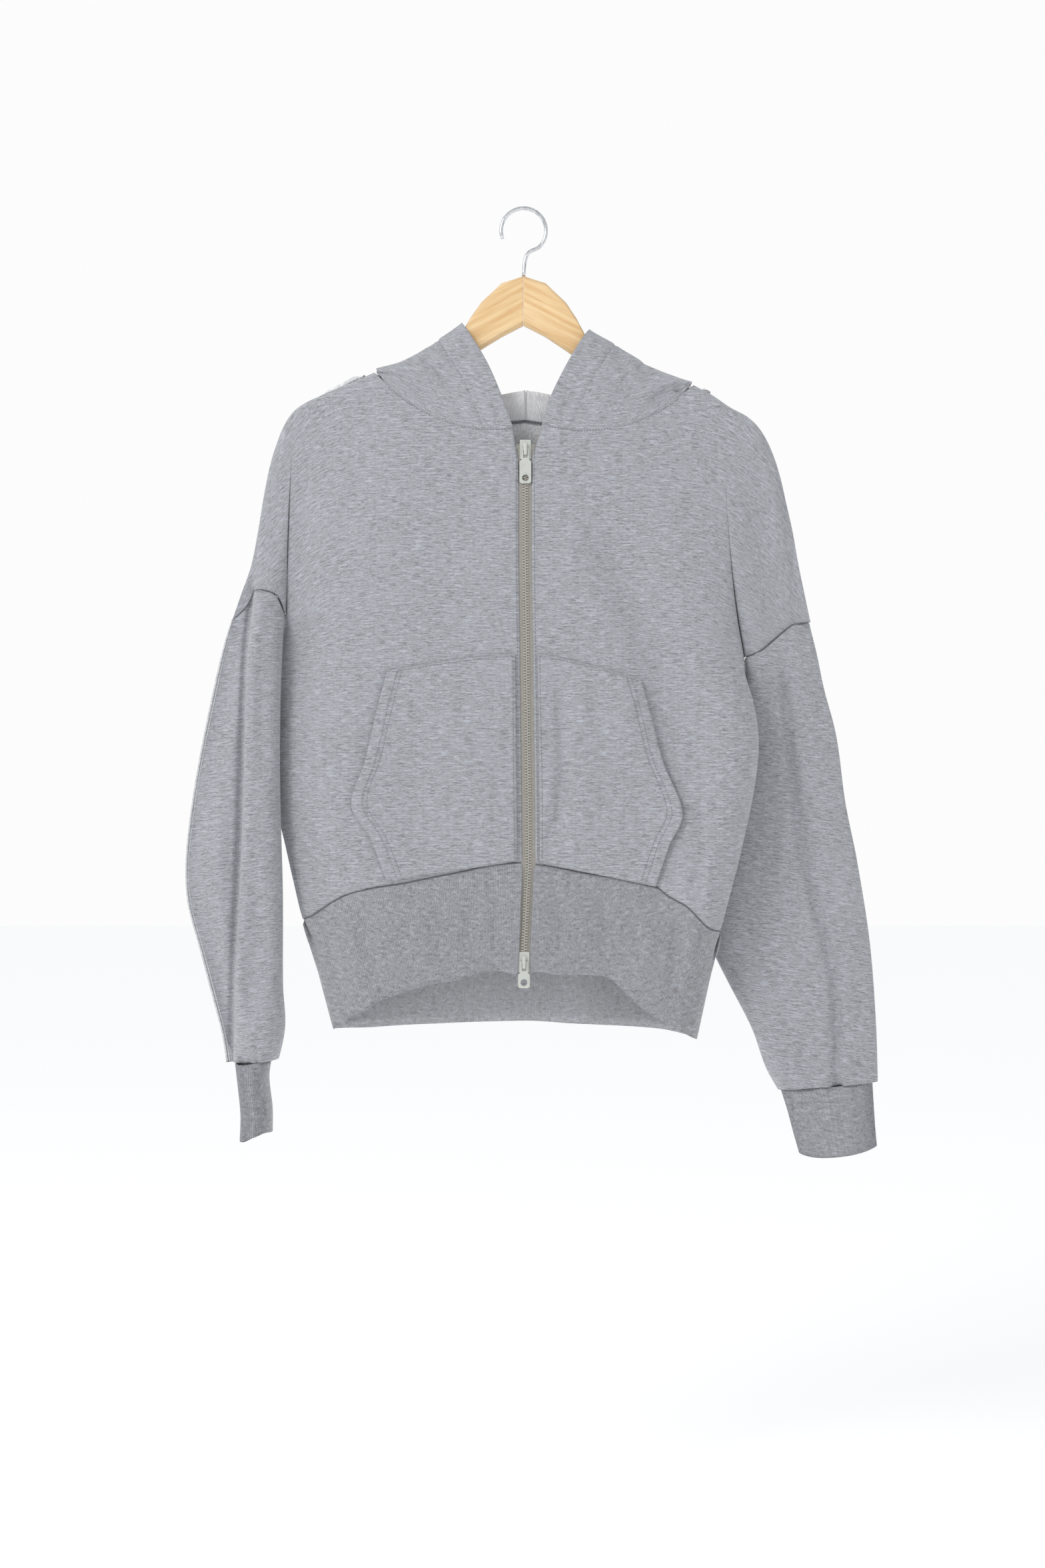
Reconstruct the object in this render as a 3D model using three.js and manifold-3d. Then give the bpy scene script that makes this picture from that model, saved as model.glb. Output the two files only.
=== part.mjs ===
// A zip-up hoodie hanging on a wooden clothes hanger.
// Millimetres, +Z up. The front faces -Y, "left" is -X. The origin is the inside top of the hook,
// where a rail would carry it.
import * as THREE from 'three';
import Module from 'manifold-3d';
import * as BufferGeometryUtils from 'three/addons/utils/BufferGeometryUtils.js';

const wasm = await Module();
wasm.setup();

// Driving sizes
const CLOTH = 2;            // wall of the knitted cloth
const SEAM = 0.3;           // gap between two sewn pieces
const HALF_SEAM = SEAM / 2;
const HEM_TURN = 0.4;       // how far a wall's inner edge stands back at a cut edge
const HANGER_HALF = 6;      // half the hanger's thickness in depth
const OVER_HANGER = 10;     // cloth surface from the hanger's middle plane
const TAPE = 1;             // zip tape thickness
const ZIP_HALF = 5.9;       // from the zip's middle to the cloth's edge
const TAPE_UNDER = 7;       // tape sewn under the cloth
const WIRE = 3.4;           // hook wire diameter
const RIB_PITCH = 7;
const RIB_RELIEF = 0.5;
const NECK_BACK_X = 2;      // middle of the back neck
const NECK_BACK_Z = -190;
const MIDDLE_STRIP = 5;     // both sides share one surface this close to the middle plane

// Finishes
const finish = (color, roughness, metalness = 0) => new THREE.MeshStandardMaterial({ color, roughness, metalness });
const JERSEY = finish(0xa5a9b2, 0.95);
const RIB = finish(0x9a9ea8, 0.95);
const TAPE_CLOTH = finish(0xb4b0a5, 0.9);
const PAINTED = finish(0xc8cbc5, 0.4, 0.3);
const CHROME = finish(0xd8d8d8, 0.15, 1);
const WOOD = finish(0xe8c591, 0.5);

// Small maths
const clamp = (v, low, high) => Math.min(high, Math.max(low, v));
const mix = (a, b, t) => a + (b - a) * t;
const ease = (t) => { const k = clamp(t, 0, 1); return k * k * (3 - 2 * k); };
const roundEdge = (q) => Math.sqrt(1 - (1 - clamp(q, 0, 1)) ** 2);
const steps = (count) => Array.from({ length: count + 1 }, (_, k) => k / count);

// A table's columns as smooth functions of its first column, which rises or falls.
function smoothTable(rows) {
  const ordered = rows[0][0] < rows[rows.length - 1][0] ? rows : [...rows].reverse();
  const keys = ordered.map((row) => row[0]);
  const slope = (k, column) => {
    const a = Math.max(0, k - 1);
    const b = Math.min(keys.length - 1, k + 1);
    return (ordered[b][column] - ordered[a][column]) / (keys[b] - keys[a]);
  };
  return (key, column = 1) => {
    const at = clamp(key, keys[0], keys[keys.length - 1]);
    let k = 0;
    while (k < keys.length - 2 && at > keys[k + 1]) k += 1;
    const span = keys[k + 1] - keys[k];
    const t = (at - keys[k]) / span;
    const [a, b] = [ordered[k][column], ordered[k + 1][column]];
    const [da, db] = [slope(k, column) * span, slope(k + 1, column) * span];
    return a + t * (da + t * (3 * (b - a) - 2 * da - db + t * (2 * (a - b) + da + db)));
  };
}

// The garment's two sides. x is counted outwards from the middle plane, z is a height.
// outer: shoulder seam, then the sleeve's outer fold
// body:  the groove between body and arm, then the side seam and the rib band's side
// arm:   the sleeve's inner fold below the underarm
// lay:   how body and arm lie in depth (edge and middle of each, the arm's front and back swell)
const LEFT = {
  name: 'left', sign: -1, underarm: -365, tip: -371, grooveTop: -205, cuffIn: -766.5, cuffOut: -770.5,
  outer: smoothTable([
    // z, x
    [-145.8, 132.6], [-153.1, 149], [-164, 173.2], [-173.1, 194.4], [-181, 206.6], [-193.1, 215.7],
    [-210.1, 222.9], [-229.5, 229], [-259.8, 235.1], [-290.1, 239.9], [-322, 246], [-352, 256],
    [-371, 262.3], [-390, 267.8], [-429.6, 276.9], [-494.5, 290.2], [-546.6, 298.7], [-592, 303],
    [-626.6, 301.1], [-668.5, 290.2], [-710.3, 279.3], [-745, 270.8], [-790, 264],
  ]),
  body: smoothTable([
    // z, x
    [-150, 150], [-180, 196], [-215, 207.5], [-241, 209.9], [-302, 212.9], [-365, 214.7], [-380, 216.5],
    [-400, 221], [-432, 225], [-490, 227], [-543, 223], [-574, 216], [-607.6, 208.4], [-643, 199.5],
    [-670, 187.3], [-699, 180.6], [-743, 172.5],
  ]),
  arm: smoothTable([
    // z, x
    [-150, 150], [-180, 196], [-215, 207.5], [-241, 209.9], [-302, 212.9], [-365, 214.7], [-380, 216], [-436, 218.2],
    [-495, 218.8], [-546, 218.2], [-615, 216.4], [-701, 216.4], [-740, 215], [-790, 227],
  ]),
  lay: smoothTable([
    // z, body edge, arm edge, arm middle, arm front, arm back
    [-150, 0, 0, 0, 10, 10], [-220, 0, 0, -1, 11, 11], [-300, -2, -2, -4, 16, 15], [-365, -3, -3, -8, 20, 17],
    [-380, 2, -8, -9, 20, 16], [-420, 8, -13, -11, 20, 16], [-500, 10, -16, -12, 20, 16], [-640, 10, -14, -12, 20, 17],
    [-720, 4, -12, -9, 23, 21], [-766, 0, -8, -6, 27, 27], [-800, 0, -6, -6, 30, 30],
  ]),
  seam: smoothTable([
    // share from underarm to tip, height above the straight line between them
    [0, 0], [0.12, 14], [0.3, 20], [0.6, 22], [0.72, 12], [0.86, 5], [1, 0],
  ]),
  neckCorner: [9.4, -199.3],
  pocket: smoothTable([
    // share down, opening edge x, opening edge z, zip edge z
    [0, 121.3, -418.4, -403.2], [0.15, 129.5, -450, -428], [0.4, 141, -500, -478], [0.62, 152.8, -538.3, -520],
    [0.8, 136, -568, -556], [1, 121.3, -606, -588],
  ]),
};
const RIGHT = {
  name: 'right', sign: 1, underarm: -405, tip: -373, grooveTop: -235, cuffIn: -797, cuffOut: -790,
  outer: smoothTable([
    // z, x
    [-150, 137], [-157.9, 152.6], [-167, 169.6], [-178.6, 186.7], [-187.2, 202.5], [-198.7, 214.1],
    [-216.4, 223.9], [-239.6, 231.8], [-263.3, 237.3], [-290.2, 243.4], [-321.2, 248.9], [-350.5, 255],
    [-373, 259.8], [-399.3, 266.5], [-427.9, 273.2], [-474.8, 286], [-536.4, 294.6], [-590.6, 305.5],
    [-662.5, 316.5], [-735.1, 321.4], [-789.3, 322.5], [-800, 322],
  ]),
  body: smoothTable([
    // z, x
    [-158, 160], [-190, 179], [-232, 183.8], [-263, 182.6], [-292, 184.4], [-330, 188], [-369, 193.4],
    [-405, 199.5], [-420, 199.8], [-448, 207.2], [-480, 211.4], [-521, 207.8], [-579, 195.8], [-610, 188],
    [-651, 177.2], [-667.5, 171.9], [-702, 162.9], [-750, 156],
  ]),
  arm: smoothTable([
    // z, x
    [-158, 160], [-190, 179], [-232, 183.8], [-263, 182.6], [-292, 184.4], [-330, 188], [-369, 193.4],
    [-405, 199.5], [-420, 200.8], [-450, 190], [-520, 170], [-600, 159], [-640, 162.5], [-670, 172.1], [-699, 186.1],
    [-742, 208], [-778, 220.8], [-800, 233],
  ]),
  lay: smoothTable([
    // z, body edge, arm edge, arm middle, arm front, arm back
    [-150, 0, 0, 0, 10, 10], [-230, 0, 0, 1, 11, 11], [-300, 0, 0, 5, 12, 14], [-405, -3, -3, 11, 14, 15],
    [-420, -8, 3, 14, 14, 14], [-445, -14, 16, 19, 13, 14], [-520, -15, 21, 21, 13, 13], [-640, -12, 21, 21, 13, 13],
    [-720, -4, 15, 16, 14, 14], [-800, 0, 10, 10, 14, 14],
  ]),
  seam: smoothTable([
    // share from underarm to tip, height above the straight line between them
    [0, 0], [0.2, -2], [0.45, 2], [0.7, 6], [0.85, 4], [1, 0],
  ]),
  neckCorner: [16.4, -195.7],
  pocket: smoothTable([
    // share down, opening edge x, opening edge z, zip edge z
    [0, 104.4, -426.4, -403.2], [0.15, 112, -453, -428], [0.4, 124, -500, -478], [0.62, 140.5, -545, -520],
    [0.8, 129, -574, -556], [1, 117, -610.5, -589.5],
  ]),
};

// The body's front and back swell from its middle plane, by height
const swell = smoothTable([
  // z, front, back
  [-150, 9.4, 9.4], [-200, 16, 10.5], [-300, 25, 14], [-400, 31, 17], [-500, 35, 19], [-600, 37, 20.5],
  [-745, 40, 22],
]);

// The zip's middle line, x by height
const zipLine = smoothTable([
  // z, x
  [-198, 1.6], [-306, 1.4], [-402, 2.5], [-586, 4.3], [-621, 2.6], [-669, 0.4], [-697, 0.2],
]);

// Band seam and front hem of the band, z by x
const bandSeam = smoothTable([
  // x, z
  [-200, -642], [-190.8, -638.3], [-170, -624.6], [-158, -618.6], [-134, -612.1], [-110, -608.5],
  [-81, -602.6], [-51, -596.6], [-27, -590.5], [-4.6, -589.6], [8.5, -590.7], [32, -594.3], [56, -599],
  [80, -602], [104, -606.7], [118.6, -611.5], [127.5, -618.6], [145, -628.8], [163, -646.6], [177.5, -652],
]);
const bandHem = smoothTable([
  // x, z
  [-172.6, -741], [-155, -727.4], [-137, -719.7], [-131, -713.8], [-109, -705.5], [-83.5, -697.8],
  [-57, -693], [-37, -687.1], [-19, -685.9], [-2.2, -690], [12, -686], [30, -688.9], [56, -688.9],
  [75, -691.3], [84, -698.4], [97, -712], [114.6, -725], [133, -735], [149.6, -745], [156, -749],
]);
const backHem = smoothTable([
  // x, z
  [-172.6, -741.5], [-142, -742.1], [-104, -739.6], [2, -736], [42, -738.4], [121, -742.7], [156, -749],
]);
const MIDDLE_UNDERARM = -385;
const BACK_SEAM_MIDDLE = -631; // height of the band seam in the middle of the back
const BAND_SIDE = 200; // x beyond both side folds, where the band seam's table ends

// The corner where the band seam meets the side fold, as x outwards and z
function bandCorner(side) {
  const z = bandSeam(side.sign * BAND_SIDE);
  return [side.body(z), z];
}
function seamHeight(side, face, x) {
  const [cornerX, cornerZ] = bandCorner(side);
  return face < 0 ? bandSeam(side.sign * x) : mix(BACK_SEAM_MIDDLE, cornerZ, (x / cornerX) ** 2);
}

// One point of the body's or an arm's surface. x counts outwards, face is -1 in front and 1 behind.
// fromEdge is the distance to the side fold or groove.
function surfaceDepth(side, part, face, x, z, fromEdge = Math.abs(x - side[part](z))) {
  const aside = ease((x - MIDDLE_STRIP) / 120);
  const reachAt = (height) => mix((LEFT.outer(height) + RIGHT.outer(height)) / 2, side.outer(height), aside);
  const reach = reachAt(z);
  const lean = (reachAt(z - 2) - reachAt(z + 2)) / 4;
  const inFromFold = Math.max(0, reach - x) / Math.hypot(1, lean);
  const belowArm = z < side.underarm;
  const closing = belowArm ? 1 : ease((side.grooveTop - z) / (side.grooveTop - side.underarm)) ** 1.5;
  const edgeY = side.lay(z, part === 'body' ? 1 : 2);
  const middleY = part === 'body' ? 0 : side.lay(z, 3);
  const bodySwell = mix(OVER_HANGER, swell(z, face < 0 ? 1 : 2), ease(inFromFold / 120));
  const armSwell = mix(OVER_HANGER, side.lay(z, face < 0 ? 4 : 5), ease(inFromFold / 30));
  const toArm = part === 'body' ? 0 : mix(ease(fromEdge / 30), 1, closing ** 2);
  const foldWidth = mix(9, 26, ease((-z - 190) / 120));
  const outerRound = part === 'body' && belowArm ? 1 : roundEdge(inFromFold / foldWidth);
  const innerRound = 1 - closing * (1 - roundEdge(fromEdge / (part === 'body' ? 34 : 22)));
  const middle = mix(edgeY, middleY, ease(fromEdge / (part === 'body' ? 90 : 40)));
  return middle + face * mix(bodySwell, armSwell, toArm) * outerRound * innerRound;
}
const bodyPoint = (side, face, x, z) => [side.sign * x, surfaceDepth(side, 'body', face, x, z), z];
const armPoint = (side, face, x, z) => [side.sign * x, surfaceDepth(side, 'arm', face, x, z), z];
const seamPlane = (side, part, x, z) => mix(
  side.lay(z, part === 'body' ? 1 : 2),
  part === 'body' ? 0 : side.lay(z, 3),
  ease(Math.abs(x - side[part](z)) / (part === 'body' ? 90 : 40)),
);

// Cells of a grid of points as four corners each, turned so that their faces look outwards.
function cells(grid, outwards, keep = () => true) {
  const list = [];
  for (let r = 0; r + 1 < grid.length; r += 1) {
    for (let c = 0; c + 1 < grid[r].length; c += 1) {
      const corners = [grid[r][c], grid[r + 1][c], grid[r + 1][c + 1], grid[r][c + 1]];
      if (keep(r, c)) list.push(outwards ? corners : corners.reverse());
    }
  }
  return list;
}

// A closed wall on a sheet of cells. A point's fourth number raises it outside over a plain inside.
// settle moves an inner point where a neighbour needs room.
function wall(quads, thickness = CLOTH, settle = (p) => p) {
  const ids = new Map();
  const points = [];
  const idOf = (p) => {
    const key = p.slice(0, 3).map((v) => Math.round(v * 1000)).join(' ');
    if (!ids.has(key)) {
      ids.set(key, points.length);
      points.push(p);
    }
    return ids.get(key);
  };
  const faces = [];
  quads.forEach((quad) => {
    const [a, b, c, d] = quad.map(idOf);
    [[a, b, c], [a, c, d]].forEach((face) => {
      if (new Set(face).size === 3) faces.push(face);
    });
  });
  const at = (k) => new THREE.Vector3(...points[k].slice(0, 3));
  const normals = points.map(() => new THREE.Vector3());
  faces.forEach(([a, b, c]) => {
    const normal = at(b).sub(at(a)).cross(at(c).sub(at(a)));
    [a, b, c].forEach((k) => normals[k].add(normal));
  });
  normals.forEach((normal) => normal.normalize());
  const directed = new Set();
  faces.forEach(([a, b, c]) => [[a, b], [b, c], [c, a]].forEach(([p, q]) => directed.add(`${p} ${q}`)));
  const rim = [];
  faces.forEach(([a, b, c]) => [[a, b, c], [b, c, a], [c, a, b]].forEach(([p, q, far]) => {
    if (!directed.has(`${q} ${p}`)) rim.push([p, q, far]);
  }));
  const stepIn = new Map();
  rim.forEach(([p, q, far]) => {
    const along = at(q).sub(at(p)).normalize();
    const inward = at(far).sub(at(p));
    inward.addScaledVector(along, -inward.dot(along)).normalize();
    [p, q].forEach((k) => stepIn.set(k, (stepIn.get(k) ?? new THREE.Vector3()).add(inward)));
  });
  const outer = points.map((p, k) => at(k).addScaledVector(normals[k], p[3] ?? 0));
  const inner = points.map((_, k) => {
    const point = at(k).addScaledVector(normals[k], -thickness);
    if (stepIn.has(k)) point.addScaledVector(stepIn.get(k).normalize(), HEM_TURN);
    return new THREE.Vector3(...settle([point.x, point.y, point.z]));
  });
  const count = points.length;
  const triangles = faces.flatMap(([a, b, c]) => [[a, b, c], [count + c, count + b, count + a]]);
  rim.forEach(([p, q]) => triangles.push([q, p, count + p], [q, count + p, count + q]));
  const geometry = new THREE.BufferGeometry();
  const flat = [...outer, ...inner].flatMap((p) => [p.x, p.y, p.z]);
  geometry.setAttribute('position', new THREE.Float32BufferAttribute(flat, 3));
  geometry.setIndex(triangles.flat());
  return geometry;
}

// Neck seams of each side, from the shoulder seam to the middle: start, pull and end of a quadratic curve
const bend = (a, b, c, t) => a.map((v, k) => (1 - t) ** 2 * v + 2 * t * (1 - t) * b[k] + t ** 2 * c[k]);
const NECK = {
  left: { top: [135, -147.5], frontPull: [82, -206], backPull: [80, -200], back: [-NECK_BACK_X, NECK_BACK_Z] },
  right: { top: [154, -158.5], frontPull: [96, -215], backPull: [84, -204], back: [NECK_BACK_X, NECK_BACK_Z] },
};

function neckEdge(side, face, t) {
  const neck = NECK[side.name];
  return bend(neck.top, face < 0 ? neck.frontPull : neck.backPull, face < 0 ? side.neckCorner : neck.back, t);
}

// Rows of a front or back half from neck to band. Each row runs from the middle out to the groove or
// side seam, and above the underarm on to the shoulder seam or armhole.
const ROWS = { neck: 6, chest: 7, below: 9, body: 9, arm: 8 };
const SHOULDER_START = 0.05; // share of the shoulder seam that the first row runs along
const GROOVE_START = { left: -151, right: -161 }; // height where the groove leaves the shoulder
function halfPanel(side, face) {
  const neck = NECK[side.name];
  const [cornerX, cornerZ] = bandCorner(side);
  const upper = ROWS.neck + ROWS.chest;
  const total = upper + ROWS.below;
  const grooveRoute = (t) => {
    const z = mix(GROOVE_START[side.name], side.underarm, t);
    return [side.body(z), z];
  };
  const foldRoute = (t) => {
    const z = mix(neck.top[1], side.tip, t);
    return [side.outer(z), z];
  };
  const edgeX = (z) => (face < 0 ? side.sign * zipLine(z) + ZIP_HALF : side.sign * NECK_BACK_X);
  const start = face < 0 ? side.neckCorner : neck.back;
  const ends = [face < 0 ? side.underarm : MIDDLE_UNDERARM, seamHeight(side, face, face < 0 ? ZIP_HALF : 0)];
  const inner = (row) => {
    if (row <= ROWS.neck) return neckEdge(side, face, row / ROWS.neck);
    const z = row <= upper
      ? mix(start[1], ends[0], ((row - ROWS.neck) / ROWS.chest))
      : mix(ends[0], ends[1], ((row - upper) / ROWS.below));
    const opening = ease((z - start[1] + 34) / 34);
    return [mix(edgeX(z), start[0], face < 0 ? opening : 0), z];
  };
  const grid = [];
  for (let row = 0; row <= total; row += 1) {
    const from = inner(row);
    const t = clamp(row / upper, 0, 1);
    const down = clamp((row - upper) / ROWS.below, 0, 1);
    const grooveZ = mix(side.underarm, cornerZ, down);
    const groove = row <= upper ? grooveRoute(t) : [side.body(grooveZ), grooveZ];
    if (row === 0) groove.splice(0, 2, ...foldRoute(SHOULDER_START * 0.5));
    const line = [];
    for (let k = 0; k <= ROWS.body; k += 1) {
      const share = k / ROWS.body;
      const x = mix(from[0], groove[0], share);
      const footX = mix(edgeX(ends[1]), cornerX, share);
      const bow = seamHeight(side, face, footX) - mix(ends[1], cornerZ, share);
      const z = mix(from[1], groove[1], share) + bow * down ** 2;
      const depth = surfaceDepth(side, 'body', face, Math.abs(x), z);
      const plane = seamPlane(side, 'body', Math.abs(x), z);
      const lift = row === total ? SEAM : 0;
      line.push([side.sign * x, face * Math.max(HALF_SEAM, face * (depth - plane)) + plane, z + lift]);
    }
    if (row <= upper) {
      const fold = foldRoute(mix(SHOULDER_START, 1, t));
      for (let k = 1; k <= ROWS.arm; k += 1) {
        const share = spreadOf(k / ROWS.arm);
        const x = mix(groove[0], fold[0], share);
        const z = mix(groove[1], fold[1], share) + side.seam(share) * t ** 4;
        const depth = surfaceDepth(side, 'arm', face, x, z);
        const plane = seamPlane(side, 'arm', x, z);
        const lift = row === upper ? SEAM : 0;
        line.push([side.sign * x, face * Math.max(HALF_SEAM, face * (depth - plane)) + plane, z + lift]);
      }
    } else {
      for (let k = 1; k <= ROWS.arm; k += 1) line.push(line[ROWS.body]);
    }
    grid.push(line);
  }
  const keep = (r, c) => c < ROWS.body || r < upper;
  return cells(grid, side.sign * face < 0, keep);
}
const staySide = (face) => ([x, y, z]) => {
  const side = x < 0 ? LEFT : RIGHT;
  const out = Math.abs(x);
  const part = out > side.body(z) && z > side.underarm - 1 ? 'arm' : 'body';
  const plane = seamPlane(side, part, out, z);
  return [x, face * Math.max(HALF_SEAM, face * (y - plane)) + plane, z];
};
const frontPanel = (side) => wall(halfPanel(side, -1), CLOTH, staySide(-1));
const backPanel = () => wall([...halfPanel(LEFT, 1), ...halfPanel(RIGHT, 1)], CLOTH, staySide(1));

// A sleeve as a tube: rows run from the armhole to the cuff, points run round from the inner fold.
const SLEEVE = { rows: 18, half: 8 };
const UNDERARM_EASE = 1.2; // the sleeve's inner fold stands this far from the side seam at the underarm
const spreadOf = (share) => 0.5 - 0.5 * Math.cos(Math.PI * share);
function sleeve(side) {
  const grid = steps(SLEEVE.rows).map((down) => {
    const zIn = mix(side.underarm, side.cuffIn, down);
    const zOut = mix(side.tip, side.cuffOut, down);
    const [xIn, xOut] = [side.arm(zIn) + UNDERARM_EASE * (1 - down) ** 8, side.outer(zOut)];
    const place = (share, face) => {
      const spread = spreadOf(share);
      const x = mix(xIn, xOut, spread);
      const z = mix(zIn, zOut, spread) + side.seam(spread) * (1 - down) ** 4 - (down === 0 ? SEAM + HALF_SEAM : 0);
      return armPoint(side, face, clamp(x, Math.min(xIn, xOut), Math.max(xIn, xOut)), z);
    };
    const front = steps(SLEEVE.half).map((share) => place(share, -1));
    const back = steps(SLEEVE.half).slice(1, -1).reverse().map((share) => place(share, 1));
    return [...front, ...back, front[0]];
  });
  return wall(cells(grid, side.sign > 0));
}

// Ribbed cuffs: drop below the cuff seam, inner x, outer x, middle y, half depth
const CUFF = {
  left: [[0.6, 228, 259.5, -6, 27], [18, 230.5, 257, -6, 30], [44, 227.5, 254.5, -6, 32], [65.5, 227.5, 255, -6, 32]],
  right: [[0.6, 234.5, 317, 10, 11], [18, 240, 318, 10, 13], [42, 246, 319.5, 10, 13.5], [60, 251, 321, 10, 13.5]],
};
const CUFF_RIBS = 22;
const SOFT_CORNER = 0.8; // power that squares an ellipse slightly
const softPower = (v) => Math.sign(v) * Math.abs(v) ** SOFT_CORNER;
function cuff(side) {
  const grid = CUFF[side.name].map(([drop, inX, outX, midY, half]) => {
    const ring = steps(CUFF_RIBS * 2).map((share, k) => {
      const turn = 2 * Math.PI * share;
      const across = 0.5 - 0.5 * softPower(Math.cos(turn));
      const z = mix(side.cuffIn, side.cuffOut, across) - drop;
      const y = midY - half * softPower(Math.sin(turn));
      return [side.sign * mix(inX, outX, across), y, z, k % 2 === 0 ? RIB_RELIEF : 0];
    });
    ring[ring.length - 1] = ring[0];
    return ring;
  });
  return wall(cells(grid, side.sign > 0));
}

// The band's top follows the panel's lower edge, which is straight between the panel's columns.
function panelFoot(side, face, startX, x) {
  const [cornerX] = bandCorner(side);
  const place = clamp((x - startX) / (cornerX - startX), 0, 1) * ROWS.body;
  const k = Math.min(ROWS.body - 1, Math.floor(place));
  const heightOf = (column) => seamHeight(side, face, mix(startX, cornerX, column / ROWS.body));
  return mix(heightOf(k), heightOf(k + 1), place - k);
}

// The rib band, one strip from zip to zip
function hemBand() {
  const half = (side, face) => {
    const [cornerX] = bandCorner(side);
    const startX = (z) => side.sign * (face < 0 ? zipLine(z) : NECK_BACK_X) + (face < 0 ? ZIP_HALF : 0);
    const count = Math.round(cornerX / RIB_PITCH) * 2;
    return steps(count).map((share, k) => steps(2).map((down) => {
      const topX = mix(startX(-592), cornerX, share);
      const hemX = mix(startX(-690), side.body(-745), share);
      const hemZ = face < 0 ? bandHem(side.sign * hemX) : backHem(side.sign * hemX);
      const x = mix(topX, hemX, down);
      const z = mix(panelFoot(side, face, startX(-592), topX), hemZ, down) - SEAM * (1 - down);
      const fromEdge = mix(Math.abs(x - side.body(z)), (1 - share) * cornerX, ease(down));
      const ribbed = share > 0.01 && (face > 0 || share < 1);
      const rib = ribbed && k % 2 === 0 ? RIB_RELIEF : 0;
      return [side.sign * x, surfaceDepth(side, 'body', face, Math.abs(x), z, fromEdge), z, rib];
    }));
  };
  const strip = [
    ...half(LEFT, -1), ...half(LEFT, 1).reverse().slice(1),
    ...half(RIGHT, 1).slice(1), ...half(RIGHT, -1).reverse().slice(1),
  ];
  return wall(cells(strip, true));
}

// A kangaroo pocket half lies on its front panel
const ON_PANEL = CLOTH + SEAM + 0.4;
function pocket(side) {
  const grid = steps(9).map((down) => steps(8).map((share) => {
    const zipZ = side.pocket(down, 3);
    const zipX = side.sign * zipLine(zipZ) + ZIP_HALF + 4;
    const x = mix(zipX, side.pocket(down, 1), share);
    const z = mix(zipZ, side.pocket(down, 2), share) + 6 * share * (1 - share) * (1 - down);
    return [side.sign * x, surfaceDepth(side, 'body', -1, x, z) - ON_PANEL, z];
  }));
  return wall(cells(grid, side.sign > 0));
}

// Each hood half is a fan round the shoulder end of the neck seam. Its rows go from the front neck seam
// up the face edge, over the hanger, down behind to where both face edges meet, down the middle seam of
// the hanging pouch, back up inside it and over the nape to the back neck seam.
const HOOD_ROWS = {
  left: [
    // start x, y, z, pull x, y, z, edge x, y, z
    [129, -8.5, -151, 82, -15, -206, 9.4, -17, -198.8],
    [131, -9, -149.5, 83, -15, -185, 19.5, -16.5, -171],
    [132, -8.5, -148.5, 87, -14, -164, 32.5, -15, -141],
    [132.6, -7, -147, 92, -12.5, -147, 47.5, -13.5, -116],
    [133, 0, -144.5, 97, 0, -134, 55.8, 0, -102.5],
    [133, 8.5, -147, 93, 13, -141, 48, 13.5, -117],
    [133.5, 13, -152, 92, 21, -166, 27, 21, -160],
    [134, 17.5, -157, 96, 30, -208, -1.85, 29, -206],
    [134.5, 22, -164, 108, 41, -262, -1.85, 41, -272],
    [134, 25, -171, 120, 45, -312, -1.85, 45, -340],
    [133, 24, -175, 118, 39, -355, -1.85, 39, -394],
    [131, 20.5, -174, 112, 30, -352, -1.85, 30, -398],
    [129.5, 18.5, -170, 112, 24.5, -318, -1.85, 26, -350],
    [128.5, 17, -166, 108, 20.5, -262, -1.85, 21.5, -285],
    [127.5, 15.5, -163, 98, 17, -212, -1.85, 17, -215],
    [127, 14, -160, 88, 14.5, -184, -1.85, 14, -174],
    [126.5, 12.3, -156.5, 84, 12, -180, -1.85, 11.8, -163],
    [126.2, 10.3, -153, 82, 9.8, -184, -1.85, 9.4, -172],
    [126, 9, -160, 80, 10.2, -200, -1.85, 10.2, -189.4],
  ],
  right: [
    [147.5, -8.5, -162, 96, -15, -215, 16.4, -17, -195.2],
    [149, -9, -160.5, 96, -15, -193, 24, -16.5, -172],
    [150.5, -8.5, -159.5, 98, -14, -172, 36.5, -15, -146],
    [151.5, -7, -158, 103, -12.5, -155, 51, -13.5, -121],
    [152.5, 0, -155.5, 104, 0, -139, 59.5, 0, -108.5],
    [152, 8.5, -158, 99, 13, -147, 51, 13.5, -124],
    [152.5, 13, -163, 98, 21, -172, 30, 21, -162],
    [153, 17.5, -168, 101, 30, -212, 2.15, 29, -206],
    [153, 22, -175, 112, 41, -264, 2.15, 41, -272],
    [152, 25, -182, 124, 45, -312, 2.15, 45, -340],
    [150, 24, -186, 120, 39, -352, 2.15, 39, -394],
    [148, 20.5, -185, 114, 30, -350, 2.15, 30, -398],
    [146.5, 18.5, -181, 114, 24.5, -318, 2.15, 26, -350],
    [145.5, 17, -177, 110, 20.5, -264, 2.15, 21.5, -285],
    [144.5, 15.5, -174, 101, 17, -214, 2.15, 17, -215],
    [144, 14, -171, 92, 14.5, -188, 2.15, 14, -174],
    [143.5, 12.3, -167.5, 88, 12, -184, 2.15, 11.8, -163],
    [143.2, 10.3, -163, 86, 9.8, -187, 2.15, 9.4, -172],
    [143, 9, -171, 84, 10.2, -204, 2.15, 10.2, -189.4],
  ],
};
const HOOD_GRID = { along: 2, across: 7 };
const HOOD_START = 0.1; // share of the neck seam where the hood's fan starts
const NECK_GAP = 1.6;   // the hood's edge above the seam line
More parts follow.
